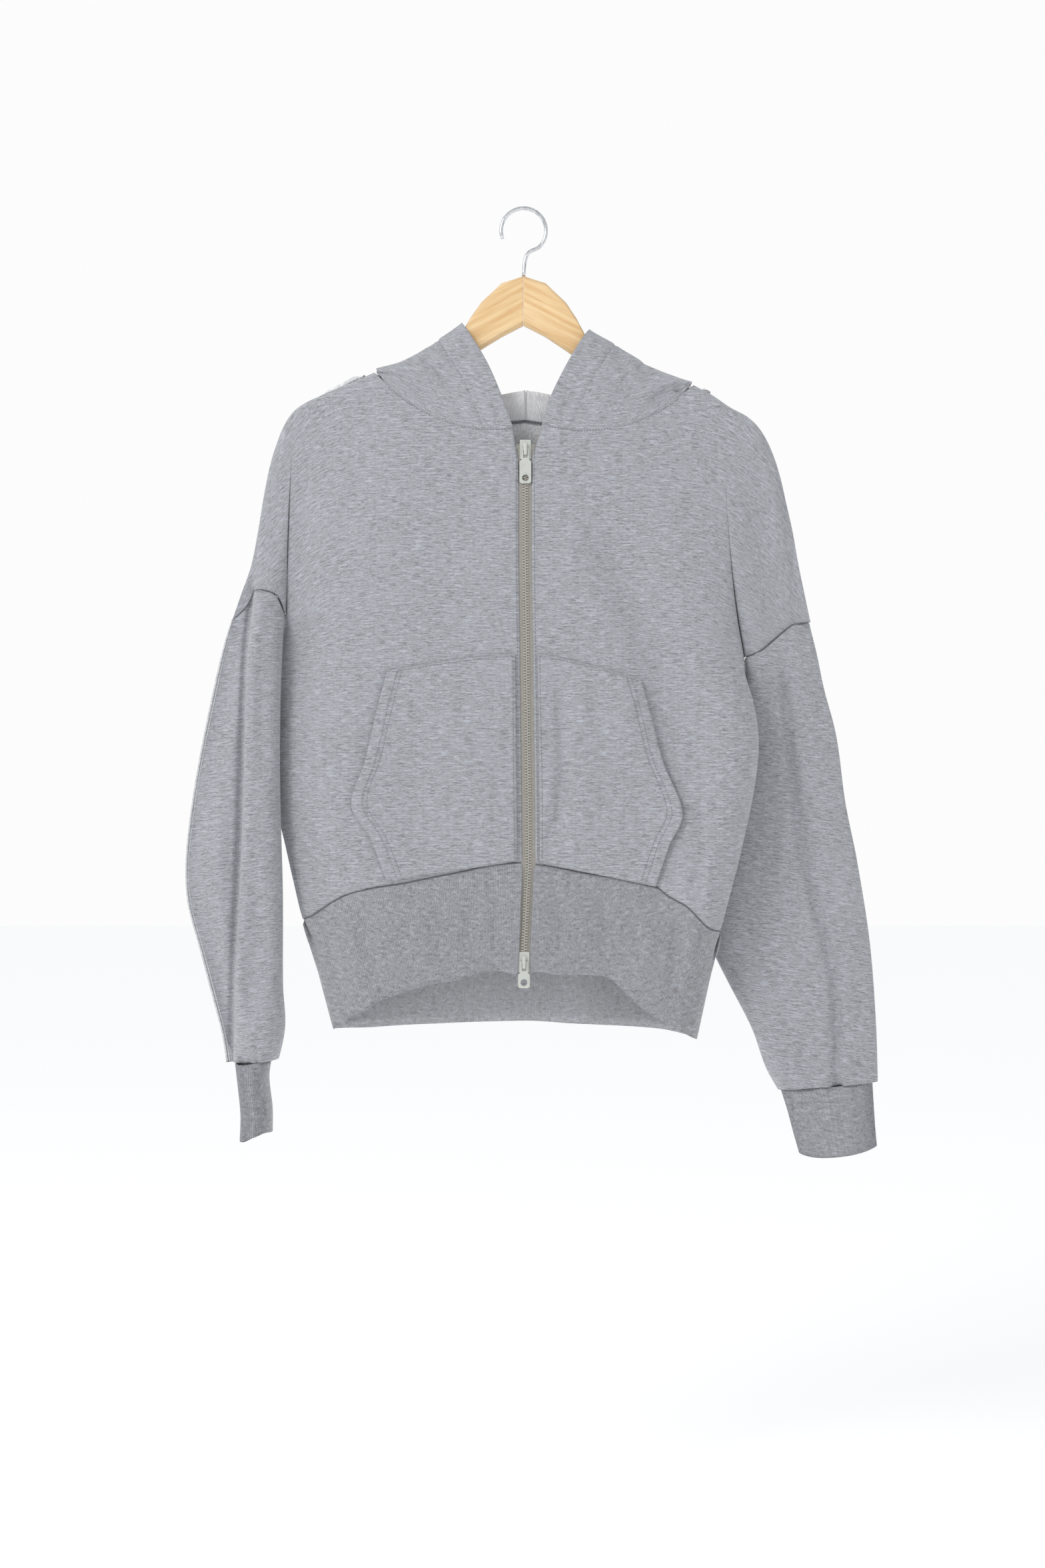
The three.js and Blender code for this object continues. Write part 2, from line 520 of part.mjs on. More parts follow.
function hoodHalf(side) {
  const rows = HOOD_ROWS[side.name];
  const last = rows.length - 1;
  const read = smoothTable(rows.map((row, k) => [k, ...row]));
  const grid = steps(last * HOOD_GRID.along).map((share) => steps(HOOD_GRID.across).map((out) => {
    const row = share * last;
    const take = (from) => [1, 2, 3].map((c) => read(row, from + c));
    const [x, y, z] = bend(take(0), take(3), take(6), out);
    const face = row < last / 2 ? -1 : 1;
    const hold = clamp(1 - Math.min(row, last - row), 0, 1);
    const [seamX, seamZ] = neckEdge(side, face, mix(HOOD_START, 1, out));
    const seamY = surfaceDepth(side, 'body', face, Math.abs(seamX), seamZ);
    const edge = rows[last][6];
    const placed = [Math.max(mix(x, seamX, hold), edge), mix(y, seamY, hold), mix(z, seamZ + NECK_GAP, hold)];
    return [side.sign * placed[0], placed[1], placed[2]];
  }));
  const keepSide = ([x, y, z]) => [side.sign * Math.max(side.sign * x, rows[last][6]), y, z];
  return wall(cells(grid, side.sign > 0), CLOTH, keepSide);
}

// Joined and plain solids
function solidOf(geometry) {
  const bare = geometry.clone();
  bare.deleteAttribute('normal');
  bare.deleteAttribute('uv');
  const merged = BufferGeometryUtils.mergeVertices(bare, 1e-4);
  return new wasm.Manifold(new wasm.Mesh({
    numProp: 3,
    vertProperties: new Float32Array(merged.attributes.position.array),
    triVerts: new Uint32Array(merged.index.array),
  }));
}
function geometryOf(solid) {
  const mesh = solid.getMesh();
  const geometry = new THREE.BufferGeometry();
  geometry.setAttribute('position', new THREE.BufferAttribute(mesh.vertProperties, 3));
  geometry.setIndex(new THREE.BufferAttribute(mesh.triVerts, 1));
  return geometry;
}
const block = (width, deep, high, x, y, z) => new THREE.BoxGeometry(width, deep, high).translate(x, y, z);

// Zip tapes lie behind the cloth's edges
const zipFront = (z) => surfaceDepth(LEFT, 'body', -1, 4, z);
const TAPE_BACK = CLOTH + SEAM + 0.2; // tape's face from the cloth's outer face
const ZIP_TOP = -214;
const ZIP_FOOT = -684;
function zipTape(side) {
  const grid = steps(30).map((down) => steps(2).map((share) => {
    const z = mix(ZIP_TOP, ZIP_FOOT, down);
    const x = mix(HALF_SEAM, ZIP_HALF + TAPE_UNDER, share) + side.sign * zipLine(z);
    return [side.sign * x, surfaceDepth(side, 'body', -1, Math.max(4, x), z) + TAPE_BACK, z];
  }));
  return wall(cells(grid, side.sign > 0), TAPE);
}

// Sliders ride on the tapes with a plate on each side and a bridge for the pull
const SLIDER = { width: 10, high: 18, plate: 1.6, throat: 0.35, bridge: 2.2 };
const BRIDGE = { width: 3, long: 11, leg: 2 };
const POST = 2; // joins a slider's plates where the tapes part
const TOP_SLIDER = { z: -219.6, up: 1 };
const FOOT_SLIDER = { z: -677.5, up: -1 };
const PIN = 1.6; // bridge thickness
const onZip = (geometry, z, long) => {
  const slope = (zipFront(z + long / 2) - zipFront(z - long / 2)) / long;
  return geometry.rotateX(-Math.atan(slope)).translate(zipLine(z), zipFront(z) + TAPE_BACK, z);
};
function sliderGeometry({ z, up }) {
  const frontY = -SLIDER.throat - SLIDER.plate / 2;
  const backY = TAPE + SLIDER.throat + SLIDER.plate / 2;
  const bridgeY = frontY - SLIDER.plate / 2 - SLIDER.bridge - PIN / 2;
  const legY = frontY - SLIDER.plate / 2 - SLIDER.bridge / 2;
  const leg = (at) => block(BRIDGE.width, SLIDER.bridge + 0.4, BRIDGE.leg, 0, legY, at * (BRIDGE.long - BRIDGE.leg) / 2);
  const parts = [
    block(SLIDER.width, SLIDER.plate, SLIDER.high, 0, frontY, 0),
    block(SLIDER.width, SLIDER.plate, SLIDER.high, 0, backY, 0),
    block(POST, backY - frontY, POST, 0, (frontY + backY) / 2, up * (SLIDER.high - POST) / 2),
    block(BRIDGE.width, PIN, BRIDGE.long, 0, bridgeY, 0),
    leg(1),
    leg(-1),
  ].map(solidOf);
  return onZip(geometryOf(parts.reduce((whole, piece) => whole.add(piece))), z, SLIDER.high);
}

// A pull tab hangs by its cross bar under the bridge: a slotted head, then a wider tab with a round hole
const PULL = { width: 10.5, headWidth: 7, headLong: 9.6, bar: 1.4, thick: 1.4, hole: 3, slotWidth: 3.8, slotLong: 7 };
const PULL_LENGTH = { top: 31, foot: 23 };
function pullGeometry(z, length) {
  const [w, h, sw] = [PULL.width / 2, PULL.headWidth / 2, PULL.slotWidth / 2];
  const corner = 1.5;
  const outline = [[-h, PULL.bar / 2], [-h, -PULL.headLong], [-w, -PULL.headLong - corner], [-w, corner - length],
    [corner - w, -length], [w - corner, -length], [w, corner - length], [w, -PULL.headLong - corner],
    [h, -PULL.headLong], [h, PULL.bar / 2]];
  const slotTop = -PULL.bar / 2;
  const slot = [[-sw, slotTop], [sw, slotTop], [sw, slotTop - PULL.slotLong], [-sw, slotTop - PULL.slotLong]];
  const shape = new THREE.Shape(outline.map(([px, pz]) => new THREE.Vector2(px, pz)));
  const hole = new THREE.Path().absarc(0, PULL.hole + 2 - length, PULL.hole, 0, 2 * Math.PI, true);
  shape.holes.push(hole, new THREE.Path(slot.map(([px, pz]) => new THREE.Vector2(px, pz))));
  const tab = new THREE.ExtrudeGeometry(shape, { depth: PULL.thick, bevelEnabled: false, curveSegments: 12 });
  tab.rotateX(Math.PI / 2);
  tab.translate(0, PULL.thick / 2, 0);
  const slope = (zipFront(z) - zipFront(z - length)) / length;
  const hingeY = zipFront(z) + TAPE_BACK - SLIDER.throat - SLIDER.plate - SLIDER.bridge / 2;
  return tab.rotateX(-Math.atan(slope)).translate(zipLine(z), hingeY, z);
}

// The hanger's two arms, mitred in the middle: x, top z, bottom z
const HANGER = {
  left: [[0.15, -60.3, -104.7], [20, -66.8, -115], [38, -83.8, -126], [48, -98, -132], [56, -112, -137],
    [75, -127, -148], [95, -141.5, -161.5], [131, -162, -184],
    [170, -178.5, -203], [196, -191, -215], [204, -199, -210]],
  right: [[0.15, -60.3, -104.7], [20, -66.8, -115], [38, -83.8, -127], [48, -99, -134], [57, -116, -140],
    [75, -131, -152], [95, -144.5, -164.5], [131, -163.5, -186], [170, -184, -209], [196, -197, -222], [204, -205, -217]],
};
const BEVEL = 3.2;
function hangerArm(side) {
  const ring = (x, top, bottom) => {
    const b = Math.min(BEVEL, (top - bottom) / 3);
    const half = HANGER_HALF;
    return [[-half, bottom + b], [b - half, bottom], [half - b, bottom], [half, bottom + b],
      [half, top - b], [half - b, top], [b - half, top], [-half, top - b]].map(([y, z]) => [side.sign * x, y, z]);
  };
  const rings = HANGER[side.name].map(([x, top, bottom]) => ring(x, top, bottom));
  const points = rings.flat().flat();
  const triangles = [];
  const around = rings[0].length;
  for (let r = 0; r + 1 < rings.length; r += 1) {
    for (let k = 0; k < around; k += 1) {
      const [a, b] = [r * around + k, r * around + ((k + 1) % around)];
      triangles.push([a, b, b + around], [a, b + around, a + around]);
    }
  }
  for (let k = 1; k + 1 < around; k += 1) {
    const end = (rings.length - 1) * around;
    triangles.push([0, k + 1, k], [end, end + k, end + k + 1]);
  }
  const geometry = new THREE.BufferGeometry();
  geometry.setAttribute('position', new THREE.Float32BufferAttribute(points, 3));
  geometry.setIndex(triangles.map((t) => (side.sign > 0 ? t : [t[0], t[2], t[1]])).flat());
  return geometry;
}

const HOOK_RADIUS = 20.4;

const group = new THREE.Group();
function add(name, geometry, material) {
  const mesh = new THREE.Mesh(geometry, material);
  mesh.name = name;
  group.add(mesh);
}

// The hook's bow is an arc whose inside top is the origin, then a stem down to the wood
function hook() {
  const centre = [0, WIRE / 2 - HOOK_RADIUS];
  const bow = steps(14).map((share) => {
    const angle = mix(200, -48, share) * Math.PI / 180;
    return [centre[0] + HOOK_RADIUS * Math.cos(angle), centre[1] + HOOK_RADIUS * Math.sin(angle)];
  });
  const stem = [[4.5, -38.5], [1.4, -45], [0.6, -52], [0, -60]];
  const points = [...bow, ...stem].map(([x, z]) => new THREE.Vector3(x, 0, z));
  const path = new THREE.CatmullRomCurve3(points);
  const section = new THREE.Shape().absarc(0, 0, WIRE / 2, 0, 2 * Math.PI);
  return new THREE.ExtrudeGeometry(section, { steps: 36, bevelEnabled: false, curveSegments: 5, extrudePath: path });
}

[LEFT, RIGHT].forEach((side) => {
  add(`front_${side.name}`, frontPanel(side), JERSEY);
  add(`sleeve_${side.name}`, sleeve(side), JERSEY);
  add(`cuff_${side.name}`, cuff(side), RIB);
  add(`pocket_${side.name}`, pocket(side), JERSEY);
  add(`hood_${side.name}`, hoodHalf(side), JERSEY);
  add(`zip_tape_${side.name}`, zipTape(side), TAPE_CLOTH);
  add(`hanger_arm_${side.name}`, hangerArm(side), WOOD);
});
add('back', backPanel(), JERSEY);
add('hem_band', hemBand(), RIB);
add('slider_top', sliderGeometry(TOP_SLIDER), PAINTED);
add('slider_foot', sliderGeometry(FOOT_SLIDER), PAINTED);
add('pull_top', pullGeometry(TOP_SLIDER.z, PULL_LENGTH.top), PAINTED);
add('pull_foot', pullGeometry(FOOT_SLIDER.z, PULL_LENGTH.foot), PAINTED);
add('hook', hook(), CHROME);

export default group;
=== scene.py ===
"""A zip-up hoodie on a wooden hanger: cloth, rib, stitching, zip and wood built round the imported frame."""

import logging
import math
from dataclasses import dataclass, field
from enum import Enum
from typing import Sequence

import bmesh
import bpy
import numpy as np
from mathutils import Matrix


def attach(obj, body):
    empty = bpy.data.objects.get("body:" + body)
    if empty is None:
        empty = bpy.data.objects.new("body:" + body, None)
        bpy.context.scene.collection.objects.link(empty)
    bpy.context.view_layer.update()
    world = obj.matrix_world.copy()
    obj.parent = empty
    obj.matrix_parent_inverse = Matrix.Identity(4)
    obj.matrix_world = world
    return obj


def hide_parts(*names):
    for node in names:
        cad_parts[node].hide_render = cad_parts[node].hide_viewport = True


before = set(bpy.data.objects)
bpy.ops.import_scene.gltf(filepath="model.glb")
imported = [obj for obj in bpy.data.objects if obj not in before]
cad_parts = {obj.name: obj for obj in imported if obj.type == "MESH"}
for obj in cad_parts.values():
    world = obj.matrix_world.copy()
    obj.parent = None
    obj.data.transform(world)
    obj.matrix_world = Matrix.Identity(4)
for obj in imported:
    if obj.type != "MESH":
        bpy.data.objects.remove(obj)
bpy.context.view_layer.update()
LOG = logging.getLogger("hoodie")
Array = np.ndarray

# Sizes are in millimetres and turned to metres where a mesh is made
MM = 0.001
CLOTH = 2.0
SEAM = 0.3
OVER_HANGER = 10.0
ZIP_HALF = 5.9
MIDDLE_STRIP = 5.0
NECK_BACK_X = 2.0
BAND_SIDE = 200.0
SHOULDER_START = 0.05
NECK_SHARE = 6 / 13
MIDDLE_UNDERARM = -385.0
BACK_SEAM_MIDDLE = -631.0
RIB_PITCH = 1.6
RIB_RELIEF = 0.25
ZIP_TOP = -214.0
ZIP_FOOT = -684.0
TAPE_BACK = CLOTH + SEAM + 0.2
NECK_BACK_Z = -190.0
BAND_TOP_Z = -592.0
BAND_FOOT_Z = -690.0
SIDE_HEM_Z = -745.0
OUTLINE_BLEND = 120.0
BODY_RISE = 120.0
ARM_RISE = 30.0
ARM_EDGE = 22.0
SHOULDER_FOLD = 9.0
SIDE_FOLD = 26.0
ZIP_OPENING = 34.0


class Face(Enum):
    """Which of the garment's two faces a surface belongs to."""

    FRONT = -1
    BACK = 1


class Part(Enum):
    """Whether a place lies on the body or on an arm."""

    BODY = "body"
    ARM = "arm"


PLANE_REACH = {Part.BODY: 90.0, Part.ARM: 40.0}


def ease(t: Array) -> Array:
    """Smooth step of t, clamped to 0..1: t squared times (3 - 2 t)."""
    k = np.clip(t, 0.0, 1.0)
    return k * k * (3.0 - 2.0 * k)


def round_edge(q: Array) -> Array:
    """Quarter circle that rises from 0 at q = 0 to 1 at q = 1."""
    return np.sqrt(np.maximum(0.0, 1.0 - (1.0 - np.clip(q, 0.0, 1.0)) ** 2))


def mix(a: Array, b: Array, t: Array) -> Array:
    """Straight blend from a at t = 0 to b at t = 1."""
    return a + (b - a) * t


class Table:
    """Columns of a table as smooth functions of its first column (cubic Hermite)."""

    def __init__(self, rows: Sequence[Sequence[float]]) -> None:
        """Keep the rows in rising order.

        Args:
            rows: The key, then one value for each column.
        """
        data = np.array(rows, dtype=float)
        data = data[np.argsort(data[:, 0])]
        self.keys = data[:, 0]
        self.values = data[:, 1:]
        before = np.maximum(np.arange(len(data)) - 1, 0)
        after = np.minimum(np.arange(len(data)) + 1, len(data) - 1)
        spans = self.keys[after] - self.keys[before]
        self.slopes = (self.values[after] - self.values[before]) / spans[:, None]

    def __call__(self, key: Array, column: int = 1) -> Array:
        """Read a column.

        Args:
            key: Where to read, clamped to the table's ends.
            column: Which column, counted from 1.

        Returns:
            The column's value at each key.
        """
        at = np.clip(key, self.keys[0], self.keys[-1])
        k = np.clip(np.searchsorted(self.keys, at, side="right") - 1, 0, len(self.keys) - 2)
        span = self.keys[k + 1] - self.keys[k]
        t = (at - self.keys[k]) / span
        c = column - 1
        a, b = self.values[k, c], self.values[k + 1, c]
        da, db = self.slopes[k, c] * span, self.slopes[k + 1, c] * span
        return a + t * (da + t * (3 * (b - a) - 2 * da - db + t * (2 * (a - b) + da + db)))


@dataclass(frozen=True)
class Crease:
    """A soft trough (positive depth) or ridge (negative) along a few points of the drape."""

    points: tuple[tuple[float, float], ...]
    width: float
    depth: float

    def at(self, x: Array, z: Array) -> Array:
        """How far the crease sinks the cloth: a bell across the line that fades at both ends.

        Args:
            x: Place from left to right.
            z: Height.

        Returns:
            The sinking at each place, in millimetres.
        """
        best = np.full(np.shape(x), 1e9)
        along = np.zeros(np.shape(x))
        line = np.array(self.points)
        lengths = np.concatenate([[0.0], np.cumsum(np.hypot(*np.diff(line, axis=0).T))])
        for k in range(len(line) - 1):
            (ax, az), (bx, bz) = line[k], line[k + 1]
            span = max((bx - ax) ** 2 + (bz - az) ** 2, 1e-6)
            t = np.clip(((x - ax) * (bx - ax) + (z - az) * (bz - az)) / span, 0.0, 1.0)
            gap = np.hypot(x - ax - t * (bx - ax), z - az - t * (bz - az))
            nearer = gap < best
            best = np.where(nearer, gap, best)
            along = np.where(nearer, lengths[k] + t * math.sqrt(span), along)
        share = along / lengths[-1]
        fade = ease(share / 0.3) * ease((1.0 - share) / 0.3)
        return self.depth * np.exp(-((best / self.width) ** 2)) * fade


@dataclass(frozen=True)
class Side:
    """One side of the garment: where its folds and seams run. x counts outwards, z is a height."""

    name: str
    sign: int
    underarm: float
    tip: float
    groove_top: float
    groove_start: float
    cuff_in: float
    cuff_out: float
    edge_width: float
    outer: Table
    body: Table
    arm: Table
    lay: Table
    seam: Table
    neck_corner: tuple[float, float]
    neck_top: tuple[float, float]
    front_pull: tuple[float, float]
    back_pull: tuple[float, float]
    pocket: Table
    fold_line: Table
    fold_step: float
    fold_top: float


LEFT = Side(
    name="left", sign=-1, underarm=-365, tip=-371, groove_top=-205, groove_start=-151,
    cuff_in=-766.5, cuff_out=-770.5, edge_width=60,
    outer=Table([
        [-145.8, 132.6], [-153.1, 149], [-164, 173.2], [-173.1, 194.4], [-181, 206.6], [-193.1, 215.7],
        [-210.1, 222.9], [-229.5, 229], [-259.8, 235.1], [-290.1, 239.9], [-322, 246], [-352, 256],
        [-371, 262.3], [-390, 267.8], [-429.6, 276.9], [-494.5, 290.2], [-546.6, 298.7], [-592, 303],
        [-626.6, 301.1], [-668.5, 290.2], [-710.3, 279.3], [-745, 270.8], [-790, 264],
    ]),
    body=Table([
        [-150, 150], [-180, 196], [-215, 207.5], [-241, 209.9], [-302, 212.9], [-365, 214.7], [-380, 216.5],
        [-400, 221], [-432, 225], [-490, 227], [-543, 223], [-574, 216], [-607.6, 208.4], [-643, 199.5],
        [-670, 187.3], [-699, 180.6], [-743, 172.5],
    ]),
    arm=Table([
        [-150, 150], [-180, 196], [-215, 207.5], [-241, 209.9], [-302, 212.9], [-365, 214.7], [-380, 216],
        [-436, 218.2], [-495, 218.8], [-546, 218.2], [-615, 216.4], [-701, 216.4], [-740, 215], [-790, 227],
    ]),
    lay=Table([
        [-150, 0, 0, 0, 10, 10], [-220, 0, 0, -1, 11, 11], [-300, -2, -2, -4, 16, 15],
        [-365, -3, -3, -8, 20, 17], [-380, 2, -8, -9, 20, 16], [-420, 8, -13, -11, 20, 16],
        [-500, 10, -16, -12, 20, 16], [-640, 10, -14, -12, 20, 17], [-720, 4, -12, -9, 23, 21],
        [-766, 0, -8, -6, 27, 27], [-800, 0, -6, -6, 30, 30],
    ]),
    seam=Table([[0, 0], [0.12, 14], [0.3, 20], [0.6, 22], [0.72, 12], [0.86, 5], [1, 0]]),
    neck_corner=(9.4, -199.3), neck_top=(135, -147.5), front_pull=(82, -206), back_pull=(80, -200),
    pocket=Table([
        [0, 121.3, -418.4, -403.2], [0.15, 129.5, -450, -428], [0.4, 141, -500, -478],
        [0.62, 152.8, -538.3, -520], [0.8, 136, -568, -556], [1, 121.3, -606, -588],
    ]),
    fold_line=Table([
        [-310, 240], [-344, 241.8], [-409, 246.6], [-495, 249], [-563, 250.8], [-649, 254.9], [-718, 258.5],
        [-770, 261],
    ]),
    fold_step=12.0, fold_top=-318,
)
RIGHT = Side(
    name="right", sign=1, underarm=-405, tip=-373, groove_top=-235, groove_start=-161,
    cuff_in=-797, cuff_out=-790, edge_width=34,
    outer=Table([
        [-150, 137], [-157.9, 152.6], [-167, 169.6], [-178.6, 186.7], [-187.2, 202.5], [-198.7, 214.1],
        [-216.4, 223.9], [-239.6, 231.8], [-263.3, 237.3], [-290.2, 243.4], [-321.2, 248.9], [-350.5, 255],
        [-373, 259.8], [-399.3, 266.5], [-427.9, 273.2], [-474.8, 286], [-536.4, 294.6], [-590.6, 305.5],
        [-662.5, 316.5], [-735.1, 321.4], [-789.3, 322.5], [-800, 322],
    ]),
    body=Table([
        [-158, 160], [-190, 179], [-232, 183.8], [-263, 182.6], [-292, 184.4], [-330, 188], [-369, 193.4],
        [-405, 199.5], [-420, 199.8], [-448, 207.2], [-480, 211.4], [-521, 207.8], [-579, 195.8], [-610, 188],
        [-651, 177.2], [-667.5, 171.9], [-702, 162.9], [-750, 156],
    ]),
    arm=Table([
        [-158, 160], [-190, 179], [-232, 183.8], [-263, 182.6], [-292, 184.4], [-330, 188], [-369, 193.4],
        [-405, 199.5], [-420, 200.8], [-450, 190], [-520, 170], [-600, 159], [-640, 162.5], [-670, 172.1],
        [-699, 186.1], [-742, 208], [-778, 220.8], [-800, 233],
    ]),
    lay=Table([
        [-150, 0, 0, 0, 10, 10], [-230, 0, 0, 1, 11, 11], [-300, 0, 0, 5, 12, 14], [-405, -3, -3, 11, 14, 15],
        [-420, -8, 3, 14, 14, 14], [-445, -14, 16, 19, 13, 14], [-520, -15, 21, 21, 13, 13],
        [-640, -12, 21, 21, 13, 13], [-720, -4, 15, 16, 14, 14], [-800, 0, 10, 10, 14, 14],
    ]),
    seam=Table([[0, 0], [0.2, -2], [0.45, 2], [0.7, 6], [0.85, 4], [1, 0]]),
    neck_corner=(16.4, -195.7), neck_top=(154, -158.5), front_pull=(96, -215), back_pull=(84, -204),
    pocket=Table([
        [0, 104.4, -426.4, -403.2], [0.15, 112, -453, -428], [0.4, 124, -500, -478],
        [0.62, 140.5, -545, -520], [0.8, 129, -574, -556], [1, 117, -610.5, -589.5],
    ]),
    fold_line=Table([
        [-396, 231], [-446, 238], [-518, 245], [-572, 252.5], [-626, 265], [-662, 274], [-699, 282], [-770, 284],
    ]),
    fold_step=-7.0, fold_top=-400,
)
SIDES = (LEFT, RIGHT)

SWELL = Table([
    [-150, 10, 10], [-200, 16, 10.5], [-300, 25, 14], [-400, 31, 17], [-500, 35, 19], [-600, 37, 20.5],
    [-745, 40, 22],
])
ZIP_LINE = Table([[-198, 1.6], [-306, 1.4], [-402, 2.5], [-586, 4.3], [-621, 2.6], [-669, 0.4], [-697, 0.2]])
BAND_SEAM = Table([
    [-200, -642], [-190.8, -638.3], [-170, -624.6], [-158, -618.6], [-134, -612.1], [-110, -608.5],
    [-81, -602.6], [-51, -596.6], [-27, -590.5], [-4.6, -589.6], [8.5, -590.7], [32, -594.3], [56, -599],
    [80, -602], [104, -606.7], [118.6, -611.5], [127.5, -618.6], [145, -628.8], [163, -646.6], [177.5, -652],
])
BAND_HEM = Table([
    [-172.6, -741], [-155, -727.4], [-137, -719.7], [-131, -713.8], [-109, -705.5], [-83.5, -697.8],
    [-57, -693], [-37, -687.1], [-19, -685.9], [-2.2, -690], [12, -686], [30, -688.9], [56, -688.9],
    [75, -691.3], [84, -698.4], [97, -712], [114.6, -725], [133, -735], [149.6, -745], [156, -749],
])
BACK_HEM = Table([
    [-172.6, -741.5], [-142, -742.1], [-104, -739.6], [2, -736], [42, -738.4], [121, -742.7], [156, -749],
])

# Creases listed one by one: x and z as seen from the front, spread and depth
SHOULDER_FRONT_CREASES = (
    Crease(((205, -215), (215, -270), (228, -340)), 12, 2.8),
    Crease(((222, -240), (232, -300), (243, -352)), 9, -2.2),
    Crease(((-222, -250), (-226, -310), (-228, -345)), 8, 2.2),
)
SHOULDER_BACK_CREASES = (
    Crease(((-225, -260), (-236, -330), (-246, -360)), 9, 2.2),
    Crease(((220, -250), (232, -310), (244, -356)), 9, 2.4),
)
FRONT_CREASES = (
    Crease(((28, -405), (32, -440), (36, -512), (32, -545), (22, -570), (17, -606)), 6, 4.2),
    Crease(((48, -410), (54, -520), (46, -590)), 13, -3.2),
    Crease(((154, -520), (156, -580), (150, -632)), 7, 4.0),
    Crease(((-150, -545), (-158, -590), (-150, -625)), 7, 1.8),
    Crease(((46, -240), (74, -300), (108, -380), (128, -460), (140, -545)), 24, 8.0),
    Crease(((20, -230), (48, -300), (84, -390), (98, -480), (104, -560)), 26, -4.5),
    Crease(((-40, -250), (-70, -330), (-80, -400)), 24, 1.6),
    Crease(((-196, -215), (-202, -300), (-204, -380), (-206, -470)), 11, 5.0),
    Crease(((-178, -250), (-186, -360), (-190, -480)), 14, -2.4),
    *SHOULDER_FRONT_CREASES,
    Crease(((186, -560), (176, -600), (166, -640)), 8, 2.6),
    Crease(((-192, -590), (-180, -625)), 7, 2.2),
    Crease(((100, -612), (112, -590), (118, -560)), 8, -1.4),
    Crease(((-100, -470), (-92, -540), (-84, -596)), 15, 1.8),
    Crease(((-40, -480), (-36, -560), (-30, -588)), 13, -1.2),
    Crease(((90, -470), (104, -540), (108, -596)), 13, 2.0),
    Crease(((-12, -408), (-14, -500), (-12, -585)), 4, 1.0),
)
BACK_CREASES = (
    Crease(((-150, -260), (-120, -340), (-100, -430)), 20, 2.6),
    Crease(((140, -260), (118, -350), (104, -450)), 18, 2.4),
    Crease(((-60, -430), (-70, -520), (-60, -620)), 15, 2.0),
    Crease(((50, -450), (58, -540), (44, -625)), 16, -2.0),
    Crease(((-20, -480), (-8, -560), (-14, -628)), 13, 1.8),
    Crease(((120, -520), (134, -580), (128, -634)), 9, 2.4),
    Crease(((-140, -520), (-150, -590), (-142, -632)), 10, 2.2),
    Crease(((-196, -230), (-202, -310), (-204, -400)), 10, 3.6),
    Crease(((190, -250), (196, -320), (200, -390)), 10, 3.0),
    *SHOULDER_BACK_CREASES,
)
ARM_FRONT_CREASES = (
    Crease(((-228, -380), (-232, -450), (-229, -540)), 8, 2.2),
    Crease(((-262, -400), (-272, -500), (-280, -590)), 11, 2.0),
    Crease(((-232, -600), (-236, -680), (-240, -740)), 9, 2.8),
    Crease(((-285, -600), (-276, -680), (-268, -740)), 8, 2.4),
    Crease(((-222, -722), (-240, -742), (-258, -756)), 7, -2.4),
    Crease(((262, -400), (272, -470), (284, -560)), 12, 2.2),
    Crease(((205, -640), (236, -700), (252, -780)), 12, 2.0),
    Crease(((300, -660), (304, -720), (300, -780)), 9, 2.2),
    Crease(((246, -790), (251, -772), (254, -752)), 3.4, 3.0),
    Crease(((255, -790), (262, -774), (268, -764)), 3.0, 2.6),
    Crease(((236, -792), (240, -778), (240, -764)), 3.2, 2.2),
    Crease(((268, -788), (276, -772), (284, -762)), 3.6, 2.0),
    Crease(((294, -788), (297, -772), (300, -760)), 3.6, 2.2),
    Crease(((-236, -765), (-238, -752), (-236, -738)), 3.4, 2.4),
    Crease(((-248, -767), (-247, -756), (-250, -742)), 3.0, 2.2),
)
ARM_BACK_CREASES = (
    Crease(((-230, -390), (-240, -480), (-246, -570)), 12, 2.8),
    Crease(((-268, -420), (-276, -520), (-284, -600)), 9, 2.2),
    Crease(((-240, -620), (-248, -690), (-244, -750)), 9, 2.6),
    Crease(((230, -420), (244, -500), (262, -590)), 12, 2.8),
    Crease(((196, -560), (222, -640), (250, -720)), 11, 2.4),
    Crease(((290, -640), (296, -710), (292, -780)), 9, 2.4),
    Crease(((250, -790), (254, -774), (258, -758)), 3.4, 2.4),
    Crease(((280, -790), (284, -774), (290, -762)), 3.4, 2.2),
    Crease(((-242, -767), (-243, -754), (-246, -740)), 3.4, 2.2),
)
BAND_CREASES = (
    Crease(((-178, -652), (-168, -690), (-166, -730)), 7, 2.6),
    Crease(((-142, -622), (-138, -660), (-130, -706)), 9, 2.6),
    Crease(((-96, -614), (-90, -650), (-92, -690)), 11, -2.0),
    Crease(((-52, -604), (-46, -640), (-50, -680)), 8, 2.0),
    Crease(((-22, -594), (-24, -640), (-20, -680)), 7, 1.6),
    Crease(((26, -600), (32, -640), (28, -684)), 7, 2.0),
    Crease(((66, -604), (74, -640), (72, -684)), 9, 2.2),
    Crease(((104, -612), (112, -650), (104, -706)), 8, -2.0),
    Crease(((134, -626), (136, -670), (128, -722)), 7, 2.8),
    Crease(((164, -660), (156, -690), (150, -736)), 6, 2.2),
)


